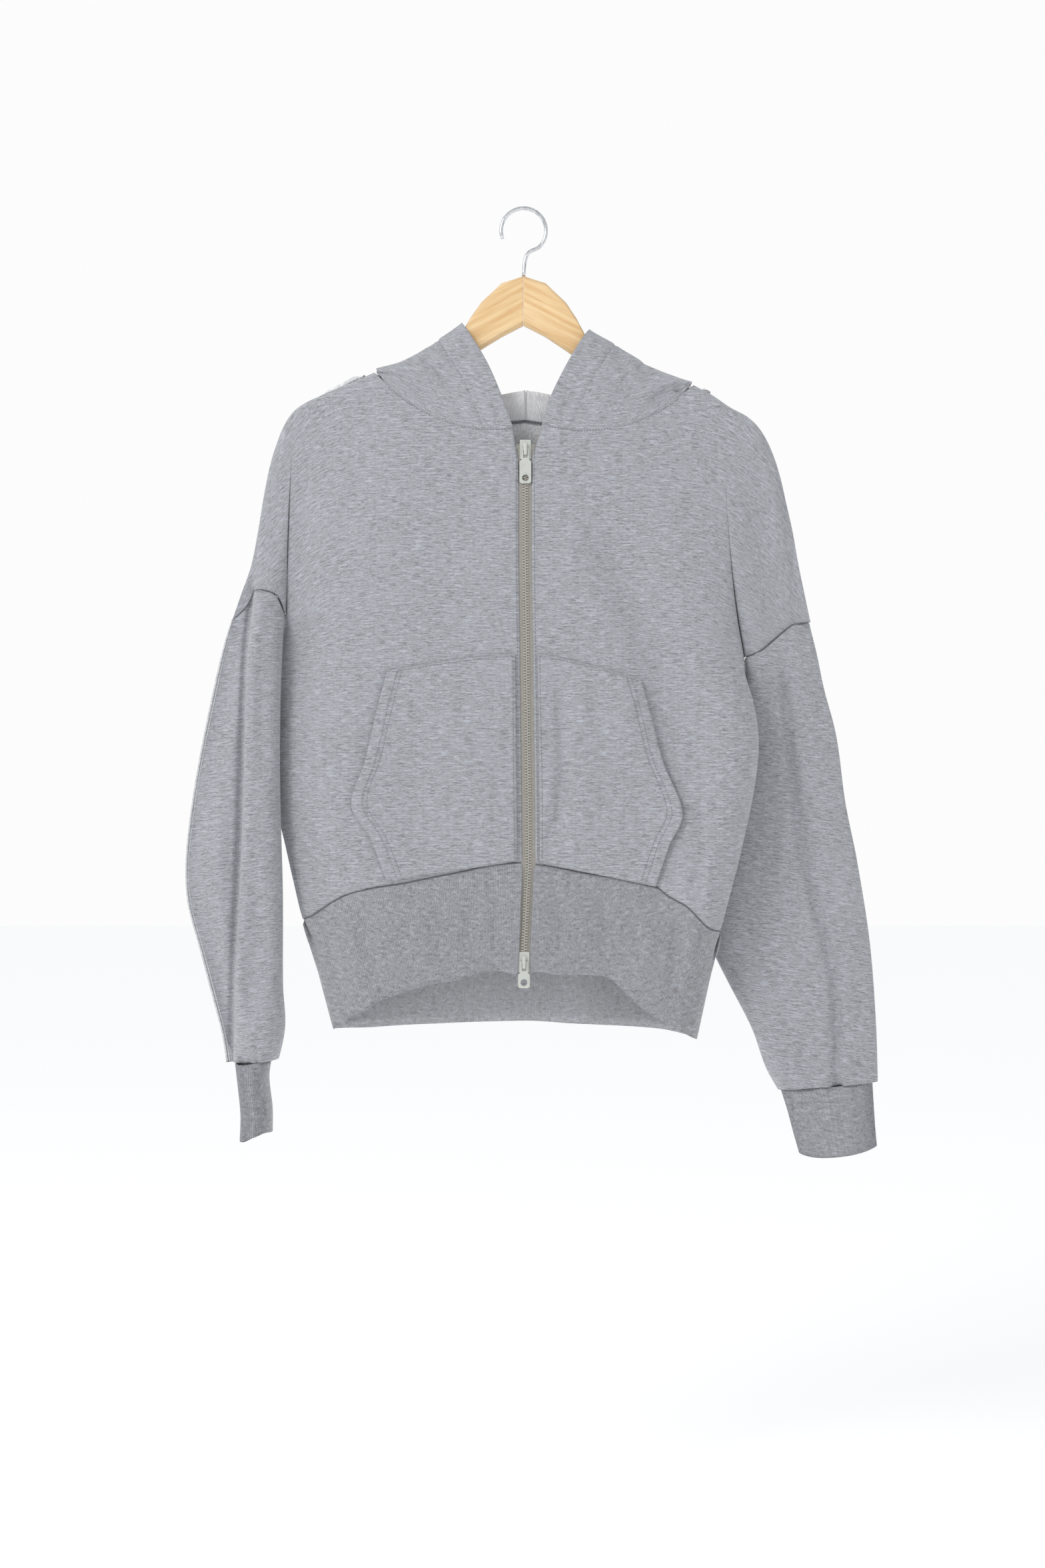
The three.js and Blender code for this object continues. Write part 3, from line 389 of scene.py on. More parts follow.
@dataclass(frozen=True)
class HangerArms:
    """Top and bottom of the wooden arms by distance from the middle, which the cloth has to clear."""

    clear: float = 8.6
    left: Table = field(default_factory=lambda: Table([
        [38, -83.8, -126], [56, -112, -137], [75, -127, -148], [95, -141.5, -161.5], [131, -162, -184],
        [170, -178.5, -203], [196, -191, -215], [204, -199, -210],
    ]))
    right: Table = field(default_factory=lambda: Table([
        [38, -83.8, -127], [57, -116, -140], [75, -131, -152], [95, -144.5, -164.5], [131, -163.5, -186],
        [170, -184, -209], [196, -197, -222], [204, -205, -217],
    ]))

    def keep_off(self, sign: int, face: Face, x: Array, y: Array, z: Array) -> Array:
        """Push cloth outwards where it would sink into an arm.

        Args:
            sign: -1 on the left and 1 on the right.
            face: The cloth's face.
            x: Distance outwards.
            y: Depth before.
            z: Height.

        Returns:
            The cleared depth.
        """
        arm = self.left if sign < 0 else self.right
        top, bottom = arm(x, 1), arm(x, 2)
        inside = ease((z - bottom + 8) / 6) * ease((top + 4 - z) / 4)
        inside = inside * ease((208 - x) / 4) * ease((x - 38) / 4)
        return face.value * np.maximum(face.value * y, self.clear * inside)


HANGER = HangerArms()


def creases_sum(creases: Sequence[Crease], x: Array, z: Array) -> Array:
    """Sum of the sinkings of several creases at each place."""
    total = np.zeros(np.shape(x))
    for crease in creases:
        total = total + crease.at(x, z)
    return total


def reach_at(side: Side, x: Array, z: Array) -> Array:
    """The outer outline, shared by both sides near the middle plane."""
    return mix((LEFT.outer(z) + RIGHT.outer(z)) / 2, side.outer(z), ease((x - MIDDLE_STRIP) / OUTLINE_BLEND))


def depth(side: Side, part: Part, face: Face, x: Array, z: Array, creased: bool = True,
          from_edge: Array | None = None) -> Array:
    """Depth of the cloth: a middle plane plus a swell that closes at the outline and in the underarm groove.

    Args:
        side: The garment's side.
        part: Body or arm.
        face: Front or back.
        x: Distance outwards from the middle plane.
        z: Height.
        creased: Whether the listed creases are added.
        from_edge: Distance to the side fold or groove, measured from the tables where it isn't given.

    Returns:
        The y of each place, in millimetres.
    """
    x, z = np.broadcast_arrays(np.asarray(x, dtype=float), np.asarray(z, dtype=float))
    f = face.value
    on_body = part is Part.BODY
    reach = reach_at(side, x, z)
    lean = (reach_at(side, x, z - 2) - reach_at(side, x, z + 2)) / 4
    in_from_fold = np.maximum(0.0, reach - x) / np.hypot(1.0, lean)
    edge = side.body(z) if on_body else side.arm(z)
    if from_edge is None:
        from_edge = np.abs(x - edge)
    below = z < side.underarm
    closing = np.where(below, 1.0, ease((side.groove_top - z) / (side.groove_top - side.underarm)) ** 1.5)
    edge_y = side.lay(z, 1 if on_body else 2)
    middle_y = 0.0 if on_body else side.lay(z, 3)
    body_swell = mix(OVER_HANGER, SWELL(z, 1 if f < 0 else 2), ease(in_from_fold / BODY_RISE))
    arm_swell = mix(OVER_HANGER, side.lay(z, 4 if f < 0 else 5), ease(in_from_fold / ARM_RISE))
    to_arm = 0.0 if on_body else mix(ease(from_edge / ARM_RISE), 1.0, closing ** 2)
    fold_width = mix(SHOULDER_FOLD, SIDE_FOLD, ease((-z - 190) / 120))
    outer_round = round_edge(in_from_fold / fold_width)
    if on_body:
        outer_round = np.where(below, 1.0, outer_round)
    inner_round = 1 - closing * (1 - round_edge(from_edge / (side.edge_width if on_body else ARM_EDGE)))
    middle = mix(edge_y, middle_y, ease(from_edge / PLANE_REACH[part]))
    y = middle + f * mix(body_swell, arm_swell, to_arm) * outer_round * inner_round
    if not creased:
        return y
    sharp = np.minimum(outer_round, inner_round)
    world_x = side.sign * x
    if on_body:
        sets = FRONT_CREASES if f < 0 else BACK_CREASES
    else:
        below_seam = ARM_FRONT_CREASES if f < 0 else ARM_BACK_CREASES
        sets = below_seam + (SHOULDER_FRONT_CREASES if f < 0 else SHOULDER_BACK_CREASES)
    y = y - f * creases_sum(sets, world_x, z) * sharp
    if not on_body and f < 0:
        line = side.fold_line(z)
        shown = ease((side.fold_top - z) / 40)
        if side.fold_step > 0:
            y = y + side.fold_step * shown * ease((x - line + 1) / 3) * sharp
            crest = 5.0 * np.exp(-(((x - line - 4) / 3) ** 2))
            hollow = 2.0 * np.exp(-(((x - line + 6) / 5) ** 2))
            y = y + shown * sharp * (crest - hollow)
        else:
            y = y - side.fold_step * shown * np.exp(-(((x - line) / 4.8) ** 2)) * sharp
    return y


def seam_plane(side: Side, part: Part, x: Array, z: Array) -> Array:
    """The plane in which front and back meet."""
    on_body = part is Part.BODY
    edge = side.body(z) if on_body else side.arm(z)
    middle_y = 0.0 if on_body else side.lay(z, 3)
    return mix(side.lay(z, 1 if on_body else 2), middle_y, ease(np.abs(x - edge) / PLANE_REACH[part]))


def bend(a: Array, b: Array, c: Array, t: Array) -> Array:
    """Quadratic curve from a, pulled by b, to c."""
    return (1 - t) ** 2 * a + 2 * t * (1 - t) * b + t ** 2 * c


def neck_edge(side: Side, face: Face, t: Array) -> Array:
    """The neck seam from the shoulder (t = 0) to the middle (t = 1), as x outwards and z."""
    front = face is Face.FRONT
    start = np.array(side.neck_top)
    pull = np.array(side.front_pull if front else side.back_pull)
    end = np.array(side.neck_corner if front else (side.sign * NECK_BACK_X, NECK_BACK_Z))
    return bend(start, pull, end, np.asarray(t, dtype=float)[..., None])


def band_corner(side: Side) -> tuple[float, float]:
    """Where the band seam meets the side fold, as x outwards and z."""
    z = float(BAND_SEAM(side.sign * BAND_SIDE))
    return float(side.body(z)), z


def seam_height(side: Side, face: Face, x: Array) -> Array:
    """Height of the band seam: a table in front, a parabola behind."""
    corner_x, corner_z = band_corner(side)
    if face is Face.FRONT:
        return BAND_SEAM(side.sign * x)
    return mix(BACK_SEAM_MIDDLE, corner_z, (x / corner_x) ** 2)


def grain(x: Array, z: Array) -> Array:
    """Cloth coordinates in which courses run level at the middle and droop along the dropped shoulder.

    Args:
        x: Distance outwards from the middle plane.
        z: Height.

    Returns:
        Distance along the course and across the courses, in millimetres.
    """
    soft = 22.0
    past = soft * np.logaddexp(0.0, (x - 196.0) / soft)
    tilt = 1.25 * ease((-150 - z) / 60) * ease((z + 420) / 60)
    return np.stack([x + 0.6 * past * tilt, z + past * tilt], axis=-1)


@dataclass
class Patch:
    """A grid of surface points in millimetres with its cloth coordinates."""

    points: Array
    cloth: Array
    outwards: bool = True


def weld(patches: Sequence[Patch]) -> tuple[Array, Array, Array]:
    """Join patches into one indexed surface, with equal points merged.

    Args:
        patches: Grids of rows by columns.

    Returns:
        Vertices, quads and one cloth coordinate for each quad corner.
    """
    places, quads, cloths, start = [], [], [], 0
    for patch in patches:
        rows, cols = patch.points.shape[:2]
        index = np.arange(rows * cols).reshape(rows, cols) + start
        corners = [index[:-1, :-1], index[1:, :-1], index[1:, 1:], index[:-1, 1:]]
        if not patch.outwards:
            corners.reverse()
        quads.append(np.stack(corners, axis=-1).reshape(-1, 4))
        places.append(patch.points.reshape(-1, 3))
        cloths.append(patch.cloth.reshape(-1, 2))
        start += rows * cols
    every, faces, cloth = np.concatenate(places), np.concatenate(quads), np.concatenate(cloths)
    _, first, same = np.unique(np.round(every, 3), axis=0, return_index=True, return_inverse=True)
    return every[first], same.reshape(-1)[faces], cloth[faces]


def make_object(name: str, vertices: Array, faces: Array, cloth: Array | None = None) -> bpy.types.Object:
    """Put a surface into a new object at the origin.

    Args:
        name: The object's name.
        vertices: Places in millimetres.
        faces: Vertex numbers of quads or triangles; a quad with a repeated corner becomes a triangle.
        cloth: Cloth coordinates for each face corner.

    Returns:
        The new object, linked to the scene and shaded smooth.
    """
    keep = [list(dict.fromkeys(face)) for face in faces.tolist()]
    mesh = bpy.data.meshes.new(name)
    mesh.from_pydata((vertices * MM).tolist(), [], [face for face in keep if len(face) > 2])
    if cloth is not None:
        layer = mesh.uv_layers.new(name="cloth")
        flat = [corner for face, uv, quad in zip(keep, cloth, faces.tolist()) if len(face) > 2
                for corner in (uv[quad.index(v)] for v in face)]
        layer.data.foreach_set("uv", np.array(flat, dtype=np.float32).reshape(-1))
    mesh.polygons.foreach_set("use_smooth", np.ones(len(mesh.polygons), dtype=bool))
    mesh.update()
    made = bpy.data.objects.new(name, mesh)
    bpy.context.scene.collection.objects.link(made)
    return made


class Value:
    """A shader value whose arithmetic adds Math nodes."""

    def __init__(self, shader: "Shader", socket: bpy.types.NodeSocket | float) -> None:
        """Wrap a socket or a number."""
        self.shader = shader
        self.socket = socket

    def _math(self, operation: str, *others: "Value | float") -> "Value":
        """Add one Math node on this value and the others."""
        inputs = {0: self, **dict(enumerate(others, 1))}
        return self.shader.node("ShaderNodeMath", {"operation": operation}, inputs)

    def __add__(self, other: "Value | float") -> "Value":
        """Sum."""
        return self._math("ADD", other)

    __radd__ = __add__

    def __mul__(self, other: "Value | float") -> "Value":
        """Product."""
        return self._math("MULTIPLY", other)

    __rmul__ = __mul__

    def __sub__(self, other: "Value | float") -> "Value":
        """Difference."""
        return self._math("SUBTRACT", other)

    def __rsub__(self, other: float) -> "Value":
        """Difference from a number, so that 1 - mask works."""
        return Value(self.shader, other)._math("SUBTRACT", self)

    def sine(self) -> "Value":
        """Sine of the value."""
        return self._math("SINE")

    def within(self, low: float, high: float) -> "Value":
        """Smooth step from 0 at low to 1 at high."""
        settings = {"interpolation_type": "SMOOTHSTEP"}
        inputs = {"Value": self, "From Min": low, "From Max": high}
        return self.shader.node("ShaderNodeMapRange", settings, inputs)


class Shader:
    """One material and the nodes that it is made of."""

    def __init__(self, name: str, **fixed: float | tuple) -> None:
        """Start a material.

        Args:
            name: The material's name.
            fixed: Values set on the shader's own sockets, with underscores for spaces.
        """
        self.material = bpy.data.materials.new(name)
        self.material.use_nodes = True
        self.tree = self.material.node_tree
        self.surface = self.tree.nodes["Principled BSDF"]
        for key, value in fixed.items():
            self.surface.inputs[key.replace("_", " ")].default_value = value

    def node(self, kind: str, settings: dict, inputs: dict, output: int | str = 0) -> Value:
        """Add a node.

        Args:
            kind: The node's type.
            settings: Its own settings, set first; "stops" fills a colour ramp.
            inputs: Values, or Value links, by socket name or number.
            output: Which output to hand back.

        Returns:
            The chosen output.
        """
        made = self.tree.nodes.new(kind)
        for key, value in settings.items():
            if key == "stops":
                ramp = made.color_ramp
                while len(ramp.elements) < len(value):
                    ramp.elements.new(0.5)
                for element, (position, colour) in zip(ramp.elements, value):
                    element.position = position
                    element.color = (*colour, 1.0)
            else:
                setattr(made, key, value)
        for key, value in inputs.items():
            raw = value.socket if isinstance(value, Value) else value
            if isinstance(raw, bpy.types.NodeSocket):
                self.tree.links.new(raw, made.inputs[key])
            else:
                made.inputs[key].default_value = raw
        return Value(self, made.outputs[output])

    def place(self, from_object: bool = False) -> Value:
        """The piece's cloth coordinates, or its Object coordinates."""
        if from_object:
            return self.node("ShaderNodeTexCoord", {}, {}, "Object")
        return self.node("ShaderNodeUVMap", {"uv_map": "cloth"}, {})

    def noise(self, place: Value, scale: tuple, detail: float = 2.0, shift: float = 0.0) -> Value:
        """Noise over a stretched place.

        Args:
            place: Coordinates.
            scale: Repeats per unit along each axis.
            detail: Octaves.
            shift: Moves the pattern, so that two layers differ.

        Returns:
            The noise's factor.
        """
        spot = self.node("ShaderNodeMapping", {}, {"Vector": place, "Scale": scale, "Location": (shift,) * 3})
        return self.node("ShaderNodeTexNoise", {}, {"Vector": spot, "Scale": 1.0, "Detail": detail})

    def blend(self, factor: Value | float, a: Value | tuple, b: Value | tuple) -> Value:
        """Mix of two colours."""
        return self.node("ShaderNodeMix", {"data_type": "RGBA"}, {0: factor, 6: a, 7: b}, 2)

    def link(self, socket: str, value: Value) -> None:
        """Feed a value to the surface shader."""
        self.tree.links.new(value.socket, self.surface.inputs[socket])

    def bump(self, height: Value, strength: float, distance: float) -> None:
        """Feed a height to the surface's normal.

        Args:
            height: The height's value.
            strength: The bump's strength.
            distance: The relief in metres for a height of 1.
        """
        fixed = {"Strength": strength, "Distance": distance, "Height": height}
        self.link("Normal", self.node("ShaderNodeBump", {}, fixed))


def tone(red: float, green: float, blue: float) -> tuple[float, float, float, float]:
    """A colour in the shader's linear units from its usual 0..255 values."""
    linear = (((v / 255 + 0.055) / 1.055) ** 2.4 if v > 10 else v / 3294.6 for v in (red, green, blue))
    return tuple(linear) + (1.0,)


@dataclass(frozen=True)
class Heather:
    """A grey marl knit: a mid grey with short light and dark streaks along the courses."""

    name: str = "heather_jersey"
    base: tuple = tone(153, 154, 159)
    light: tuple = tone(182, 185, 193)
    dark: tuple = tone(116, 115, 119)
    ribbed: bool = False

    def dress(self) -> bpy.types.Material:
        """Build the material.

        Returns:
            The finished material.
        """
        s = Shader(self.name, Roughness=0.92, Sheen_Weight=0.35, Sheen_Roughness=0.6)
        cloth = s.place()
        long, high = (0.09, 0.62) if not self.ribbed else (0.16, 0.30)
        light = s.noise(cloth, (long, high, 1), 2.0).within(0.50, 0.64)
        dark = s.noise(cloth, (long * 1.1, high * 1.15, 1), 2.0, 37.0).within(0.51, 0.65)
        fine_light = s.noise(cloth, (long * 3.4, high * 2.6, 1), 1.0, 83.0).within(0.50, 0.62)
        fine_dark = s.noise(cloth, (long * 3.1, high * 2.4, 1), 1.0, 59.0).within(0.52, 0.64)
        speck = s.noise(cloth, (1.1, 2.6, 1), 1.0, 11.0)
        broad = s.noise(cloth, (0.018, 0.03, 1), 2.0, 71.0)
        colour = s.blend(light * 0.75, self.base, self.light)
        colour = s.blend(dark * 0.75, colour, self.dark)
        colour = s.blend(fine_light * 0.5, colour, self.light)
        colour = s.blend(fine_dark * 0.5, colour, self.dark)
        colour = s.blend(broad.within(0.35, 0.7) * 0.10, colour, self.light)
        height = speck * 0.6 + s.noise(cloth, (1.4, 1.4, 1), 2.0, 5.0) * 0.4
        if self.ribbed:
            across = s.node("ShaderNodeSeparateXYZ", {}, {"Vector": cloth}, "X")
            # Painted shade: darkens the rib valleys in the colour, on top of the real rib relief.
            rib_valley_shade = (across * (2 * math.pi / RIB_PITCH)).sine() * -0.5 + 0.5
            colour = s.blend(rib_valley_shade * 0.34, colour, self.dark)
        s.link("Base Color", colour)
        s.bump(height, 0.55, 0.0006)
        return s.material


@dataclass(frozen=True)
class Fleece:
    """The brushed inside of the knit: paler and fuzzy."""

    name: str = "brushed_inside"

    def dress(self) -> bpy.types.Material:
        """Build the material."""
        s = Shader(self.name, Roughness=1.0, Sheen_Weight=0.6, Sheen_Roughness=0.8)
        cloth = s.place()
        fuzz = s.noise(cloth, (0.45, 0.45, 1), 5.0)
        clump = s.noise(cloth, (0.12, 0.12, 1), 3.0, 9.0)
        colour = s.blend(fuzz.within(0.35, 0.7), tone(200, 200, 203), tone(232, 232, 234))
        colour = s.blend(clump.within(0.5, 0.75) * 0.3, colour, tone(178, 179, 184))
        s.link("Base Color", colour)
        s.bump(fuzz + clump * 0.5, 0.8, 0.0012)
        return s.material


@dataclass(frozen=True)
class Weave:
    """The zip's tape or a sewing thread."""

    name: str
    warm: tuple
    dim: tuple
    repeats: float

    def dress(self) -> bpy.types.Material:
        """Build the material."""
        s = Shader(self.name, Roughness=0.8, Sheen_Weight=0.2)
        spot = s.place(from_object=True)
        grainy = s.noise(spot, (self.repeats, self.repeats, self.repeats * 2), 2.0)
        s.link("Base Color", s.blend(grainy.within(0.35, 0.7), self.warm, self.dim))
        s.bump(grainy, 0.5, 0.0003)
        return s.material


@dataclass(frozen=True)
class PaintedZip:
    """Pale paint on zip metal, rubbed a little at random."""

    name: str = "painted_zip_metal"
    paint: tuple = tone(196, 199, 192)
    rubbed: tuple = tone(160, 161, 153)

    def dress(self) -> bpy.types.Material:
        """Build the material."""
        s = Shader(self.name, Metallic=0.15, Coat_Weight=0.2, Coat_Roughness=0.3)
        spot = s.place(from_object=True)
        worn = s.noise(spot, (900, 900, 900), 3.0)
        broad = s.noise(spot, (160, 160, 160), 2.0, 4.0)
        colour = s.blend(worn.within(0.55, 0.8) * 0.5, self.paint, self.rubbed)
        colour = s.blend(broad.within(0.5, 0.8) * 0.3, colour, self.rubbed)
        s.link("Base Color", colour)
        s.link("Roughness", worn * 0.25 + 0.32)
        s.bump(worn, 0.2, 0.0001)
        return s.material


@dataclass(frozen=True)
class HangerWood:
    """Pale varnished wood whose grain runs along an arm."""

    name: str
    slope: float

    def dress(self) -> bpy.types.Material:
        """Build the material."""
        s = Shader(self.name, Coat_Weight=0.25, Coat_Roughness=0.25)
        spot = s.place(from_object=True)
        turned = s.node("ShaderNodeMapping", {}, {"Vector": spot, "Rotation": (0, self.slope, 0)})
        along = s.noise(turned, (14, 120, 260), 5.0)
        pores = s.noise(turned, (60, 900, 1500), 2.0, 8.0)
        broad = s.noise(turned, (9, 30, 40), 2.0, 3.0)
        colour = s.blend(along.within(0.3, 0.72), tone(236, 205, 156), tone(214, 172, 118))
        colour = s.blend(pores.within(0.58, 0.74) * 0.45, colour, tone(186, 140, 90))
        colour = s.blend(broad.within(0.4, 0.75) * 0.35, colour, tone(243, 216, 172))
        s.link("Base Color", colour)
        s.link("Roughness", along * 0.2 + 0.36)
        s.bump(pores, 0.2, 0.0003)
        return s.material


@dataclass(frozen=True)
class PlatedWire:
    """Bright plated steel wire with faint drawing marks."""

    name: str = "plated_wire"

    def dress(self) -> bpy.types.Material:
        """Build the material."""
        s = Shader(self.name, Metallic=1.0)
        spot = s.place(from_object=True)
        marks = s.noise(spot, (500, 500, 120), 3.0)
        s.link("Base Color", s.blend(marks.within(0.4, 0.8), tone(222, 223, 226), tone(176, 178, 182)))
        s.link("Roughness", marks * 0.16 + 0.1)
        return s.material


class Wardrobe:
    """Every finish, built once and shared."""

    def __init__(self) -> None:
        """Dress all the materials."""
        self.jersey = Heather().dress()
        self.rib = Heather(
            name="heather_rib", base=tone(149, 150, 155), light=tone(176, 179, 186), ribbed=True,
        ).dress()
        # Painted light: a lighter copy of the rib for the band's inside, which gets less light than the outside.
        self.rib_inside_painted_light = Heather(
            name="heather_rib_painted_light_inside", base=tone(178, 179, 184), light=tone(200, 203, 209),
            dark=tone(146, 146, 150), ribbed=True,
        ).dress()
        self.fleece = Fleece().dress()
        self.tape = Weave("zip_tape_weave", tone(160, 156, 148), tone(136, 133, 126), 900).dress()
        self.thread = Weave("sewing_thread", tone(150, 152, 158), tone(112, 113, 119), 1500).dress()
        # Dark thread: the real overlock and neck stitches, and also painted shade as the tubes laid in the seam
        # grooves.
        self.seam_shade_and_thread = Weave("overlock_thread_and_seam_shade", tone(112, 113, 119), tone(82, 83, 89), 1500).dress()
        self.painted = PaintedZip().dress()
        self.teeth = PaintedZip("zip_teeth_metal", tone(172, 169, 160), tone(140, 137, 129)).dress()
        self.wire = PlatedWire().dress()


def finish_cloth(piece: bpy.types.Object, node: str, look: bpy.types.Material, inside: bpy.types.Material,
                 thickness: float = CLOTH - 0.2) -> bpy.types.Object:
    """Give a cloth surface its wall, its two finishes and its body, and hide the node that it stands for."""
    piece.data.materials.append(look)
    piece.data.materials.append(inside)
    wall = piece.modifiers.new("wall", "SOLIDIFY")
    wall.thickness = thickness * MM
    wall.offset = -1
    wall.material_offset = 1
    wall.use_even_offset = False
    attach(piece, "garment")
    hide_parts(node)
    return piece


@dataclass
class BodyPanels:
    """The two fronts and the back, each with its dropped shoulder."""

    upper: int = 110
    lower: int = 110
    across: int = 84
    arm_across: int = 34

    def half(self, side: Side, face: Face) -> list[Patch]:
        """One half panel: rows run down, columns from the middle to the groove and on to the arm."""
        front = face is Face.FRONT
        f = face.value
        corner_x, end_side = band_corner(side)
        start = np.array(side.neck_corner if front else (side.sign * NECK_BACK_X, NECK_BACK_Z))
        foot = float(seam_height(side, face, ZIP_HALF if front else 0.0))
        arm_level = side.underarm if front else MIDDLE_UNDERARM

        def edge_x(z: Array) -> Array:
            """Inner edge of the panel: the zip line in front, the middle behind."""
            if front:
                return side.sign * ZIP_LINE(z) + ZIP_HALF
            return np.full(np.shape(z), side.sign * NECK_BACK_X)

        t = np.linspace(0, 1, self.upper + 1)
        neck = neck_edge(side, face, np.clip(t / NECK_SHARE, 0, 1))
        z_mid = mix(start[1], arm_level, np.clip((t - NECK_SHARE) / (1 - NECK_SHARE), 0, 1))
        open_v = ease((z_mid - start[1] + ZIP_OPENING) / ZIP_OPENING) if front else np.zeros_like(z_mid)
        zip_side = np.stack([mix(edge_x(z_mid), start[0], open_v), z_mid], axis=-1)
        inner_up = np.where((t <= NECK_SHARE)[:, None], neck, zip_side)
        down = np.linspace(0, 1, self.lower + 1)
        z_low = mix(arm_level, foot, down)
        inner_low = np.stack([edge_x(z_low), z_low], axis=-1)
        z_groove = mix(side.groove_start, side.underarm, t)
        groove_up = np.stack([side.body(z_groove), z_groove], axis=-1)
        fold_z = mix(side.neck_top[1], side.tip, mix(SHOULDER_START, 1, t))
        fold = np.stack([side.outer(fold_z), fold_z], axis=-1)
        first_z = mix(side.neck_top[1], side.tip, SHOULDER_START * 0.5)
        groove_up[0] = (side.outer(first_z), first_z)
        z_side = mix(side.underarm, end_side, down)
        groove_low = np.stack([side.body(z_side), z_side], axis=-1)

        share = np.linspace(0, 1, self.across + 1)
        share = share - 0.45 * np.sin(2 * np.pi * share) / (2 * np.pi)
        patches = []
        neck_dip = self.dip(t[:, None] * 180) * (1 if front else 0.6)
        zip_dip = 0.8 * self.dip(share[None, :] * 200 + 1.2) if front else 0 * share[None, :]
        foot_dip = self.dip((1 - down[:, None]) * 220)
        for inner, groove, grow, row_dip, tucked in (
            (inner_up, groove_up, 0 * t, neck_dip, False), (inner_low, groove_low, down, foot_dip, True),
        ):
            place = mix(inner[:, None, :], groove[:, None, :], share[None, :, None])
            foot_x = mix(edge_x(np.array(foot)), corner_x, share)
            bow = seam_height(side, face, foot_x) - mix(foot, end_side, share)
            place[..., 1] += bow[None, :] * (grow ** 2)[:, None]
            if tucked:
                place[..., 0] += self.tuck(side, place[..., 1]) * share[None, :] ** 6
            patches.append(self._patch(side, Part.BODY, face, place, row_dip + zip_dip))
        share = 0.5 - 0.5 * np.cos(np.pi * np.linspace(0, 1, self.arm_across + 1))
        place = mix(groove_up[:, None, :], fold[:, None, :], share[None, :, None])
        place[..., 1] += side.seam(share)[None, :] * (t ** 4)[:, None]
        patches.append(self._patch(side, Part.ARM, face, place, self.dip((1 - t[:, None]) * 180)))
        for patch in patches:
            patch.outwards = side.sign * f < 0
        return patches

    @staticmethod
    def dip(gap: Array) -> Array:
        """How far cloth sinks into a seam, by distance from it."""
        return 1.5 * (1 - ease(gap / 4.0))

    @staticmethod
    def tuck(side: Side, z: Array) -> Array:
        """Extra width just below the underarm, where the left side seam tucks behind the sleeve."""
        if side.sign > 0:
            return np.zeros_like(z)
        return 4.0 * ease((side.underarm - z) / 8) * ease((z + 420) / 40)

    def _patch(self, side: Side, part: Part, face: Face, place: Array, sink: Array) -> Patch:
        """Lift a grid of places to the cloth's surface, kept on its own side of the seam plane."""
        f = face.value
        x, z = place[..., 0], place[..., 1]
        plane = seam_plane(side, part, np.abs(x), z)
        y = plane + f * np.maximum(SEAM / 2, f * (depth(side, part, face, np.abs(x), z) - plane) - sink)
        y = HANGER.keep_off(side.sign, face, np.abs(x), y, z)
        cloth = grain(np.abs(x), z)
        cloth[..., 0] *= side.sign
        return Patch(np.stack([side.sign * x, y, z], axis=-1), cloth)

    def build(self, looks: Wardrobe) -> list[bpy.types.Object]:
        """Make and dress the three panels."""
        made = []
        for side in SIDES:
            piece = make_object(f"cloth_front_{side.name}", *weld(self.half(side, Face.FRONT)))
            made.append(finish_cloth(piece, f"front_{side.name}", looks.jersey, looks.fleece))
        halves = self.half(LEFT, Face.BACK) + self.half(RIGHT, Face.BACK)
        piece = make_object("cloth_back", *weld(halves))
        made.append(finish_cloth(piece, "back", looks.jersey, looks.fleece))
        return made


@dataclass
class Sleeves:
    """Tubes from the armhole to the cuff, with their long folds."""

    rows: int = 150
    half: int = 66
    underarm_ease: float = 1.2
    overhang: float = 3.2

    def tube(self, side: Side) -> Patch:
        """Rows run down, columns round from the inner fold, over the front and back behind."""
        down = np.linspace(0, 1, self.rows + 1)[:, None]
        z_in = mix(side.underarm, side.cuff_in, down)
        z_out = mix(side.tip, side.cuff_out, down)
        x_in = side.arm(z_in) + self.underarm_ease * (1 - down) ** 8
        if side.sign > 0:
            x_in = x_in - 4.0 * ease((side.underarm - z_in) / 8) * ease((z_in + 450) / 40)
        x_out = side.outer(z_out)
        spread = (0.5 - 0.5 * np.cos(np.pi * np.linspace(0, 1, self.half + 1)))[None, :]
        x = mix(x_in, x_out, spread)
        z = mix(z_in, z_out, spread) + side.seam(spread) * (1 - down) ** 4 - 0.45 * (1 - down) ** 30
        gather = ease((down - 0.965) / 0.035) * np.sin(np.pi * spread) ** 0.7
        roll = 1 + 0.06 * ease((down - 0.90) / 0.06) - 0.13 * ease((down - 0.965) / 0.035)
        front = depth(side, Part.ARM, Face.FRONT, x, z)
        back = depth(side, Part.ARM, Face.BACK, x, z)
        middle = (front + back) / 2
        seam_dip = 1.1 * (1 - ease(down * 410 / 5.0)) * np.sin(np.pi * spread) ** 0.3
        roll = roll * (1 - seam_dip / 14)
        pleat = 0.9 * np.sin(x * 0.62 + 2.2 * np.sin(x * 0.13)) * gather
        front = middle + (front - middle) * roll + pleat
        back = middle + (back - middle) * roll - pleat
        ys = np.concatenate([front, back[:, -2:0:-1], front[:, :1]], axis=1)
        xs = np.concatenate([x, x[:, -2:0:-1], x[:, :1]], axis=1)
        zs = np.concatenate([z, z[:, -2:0:-1], z[:, :1]], axis=1)
        points = np.stack([side.sign * xs, ys, zs], axis=-1)
        steps = np.hypot(np.diff(xs, axis=1), np.diff(ys, axis=1))
        around = np.concatenate([np.zeros((len(xs), 1)), np.cumsum(steps, axis=1)], axis=1)
        cloth = np.stack([around, zs + 0.12 * (xs - 250)], axis=-1)
        return Patch(points, cloth, side.sign > 0)

    def build(self, looks: Wardrobe) -> list[bpy.types.Object]:
        """Make and dress both sleeves."""
        made = []
        for side in SIDES:
            piece = make_object(f"cloth_sleeve_{side.name}", *weld([self.tube(side)]))
            made.append(finish_cloth(piece, f"sleeve_{side.name}", looks.jersey, looks.fleece))
            flat = (0.22, 0.42) if side is LEFT else (0.34, 0.44)
            flat[0] * flat[1] * 0.9
        return made


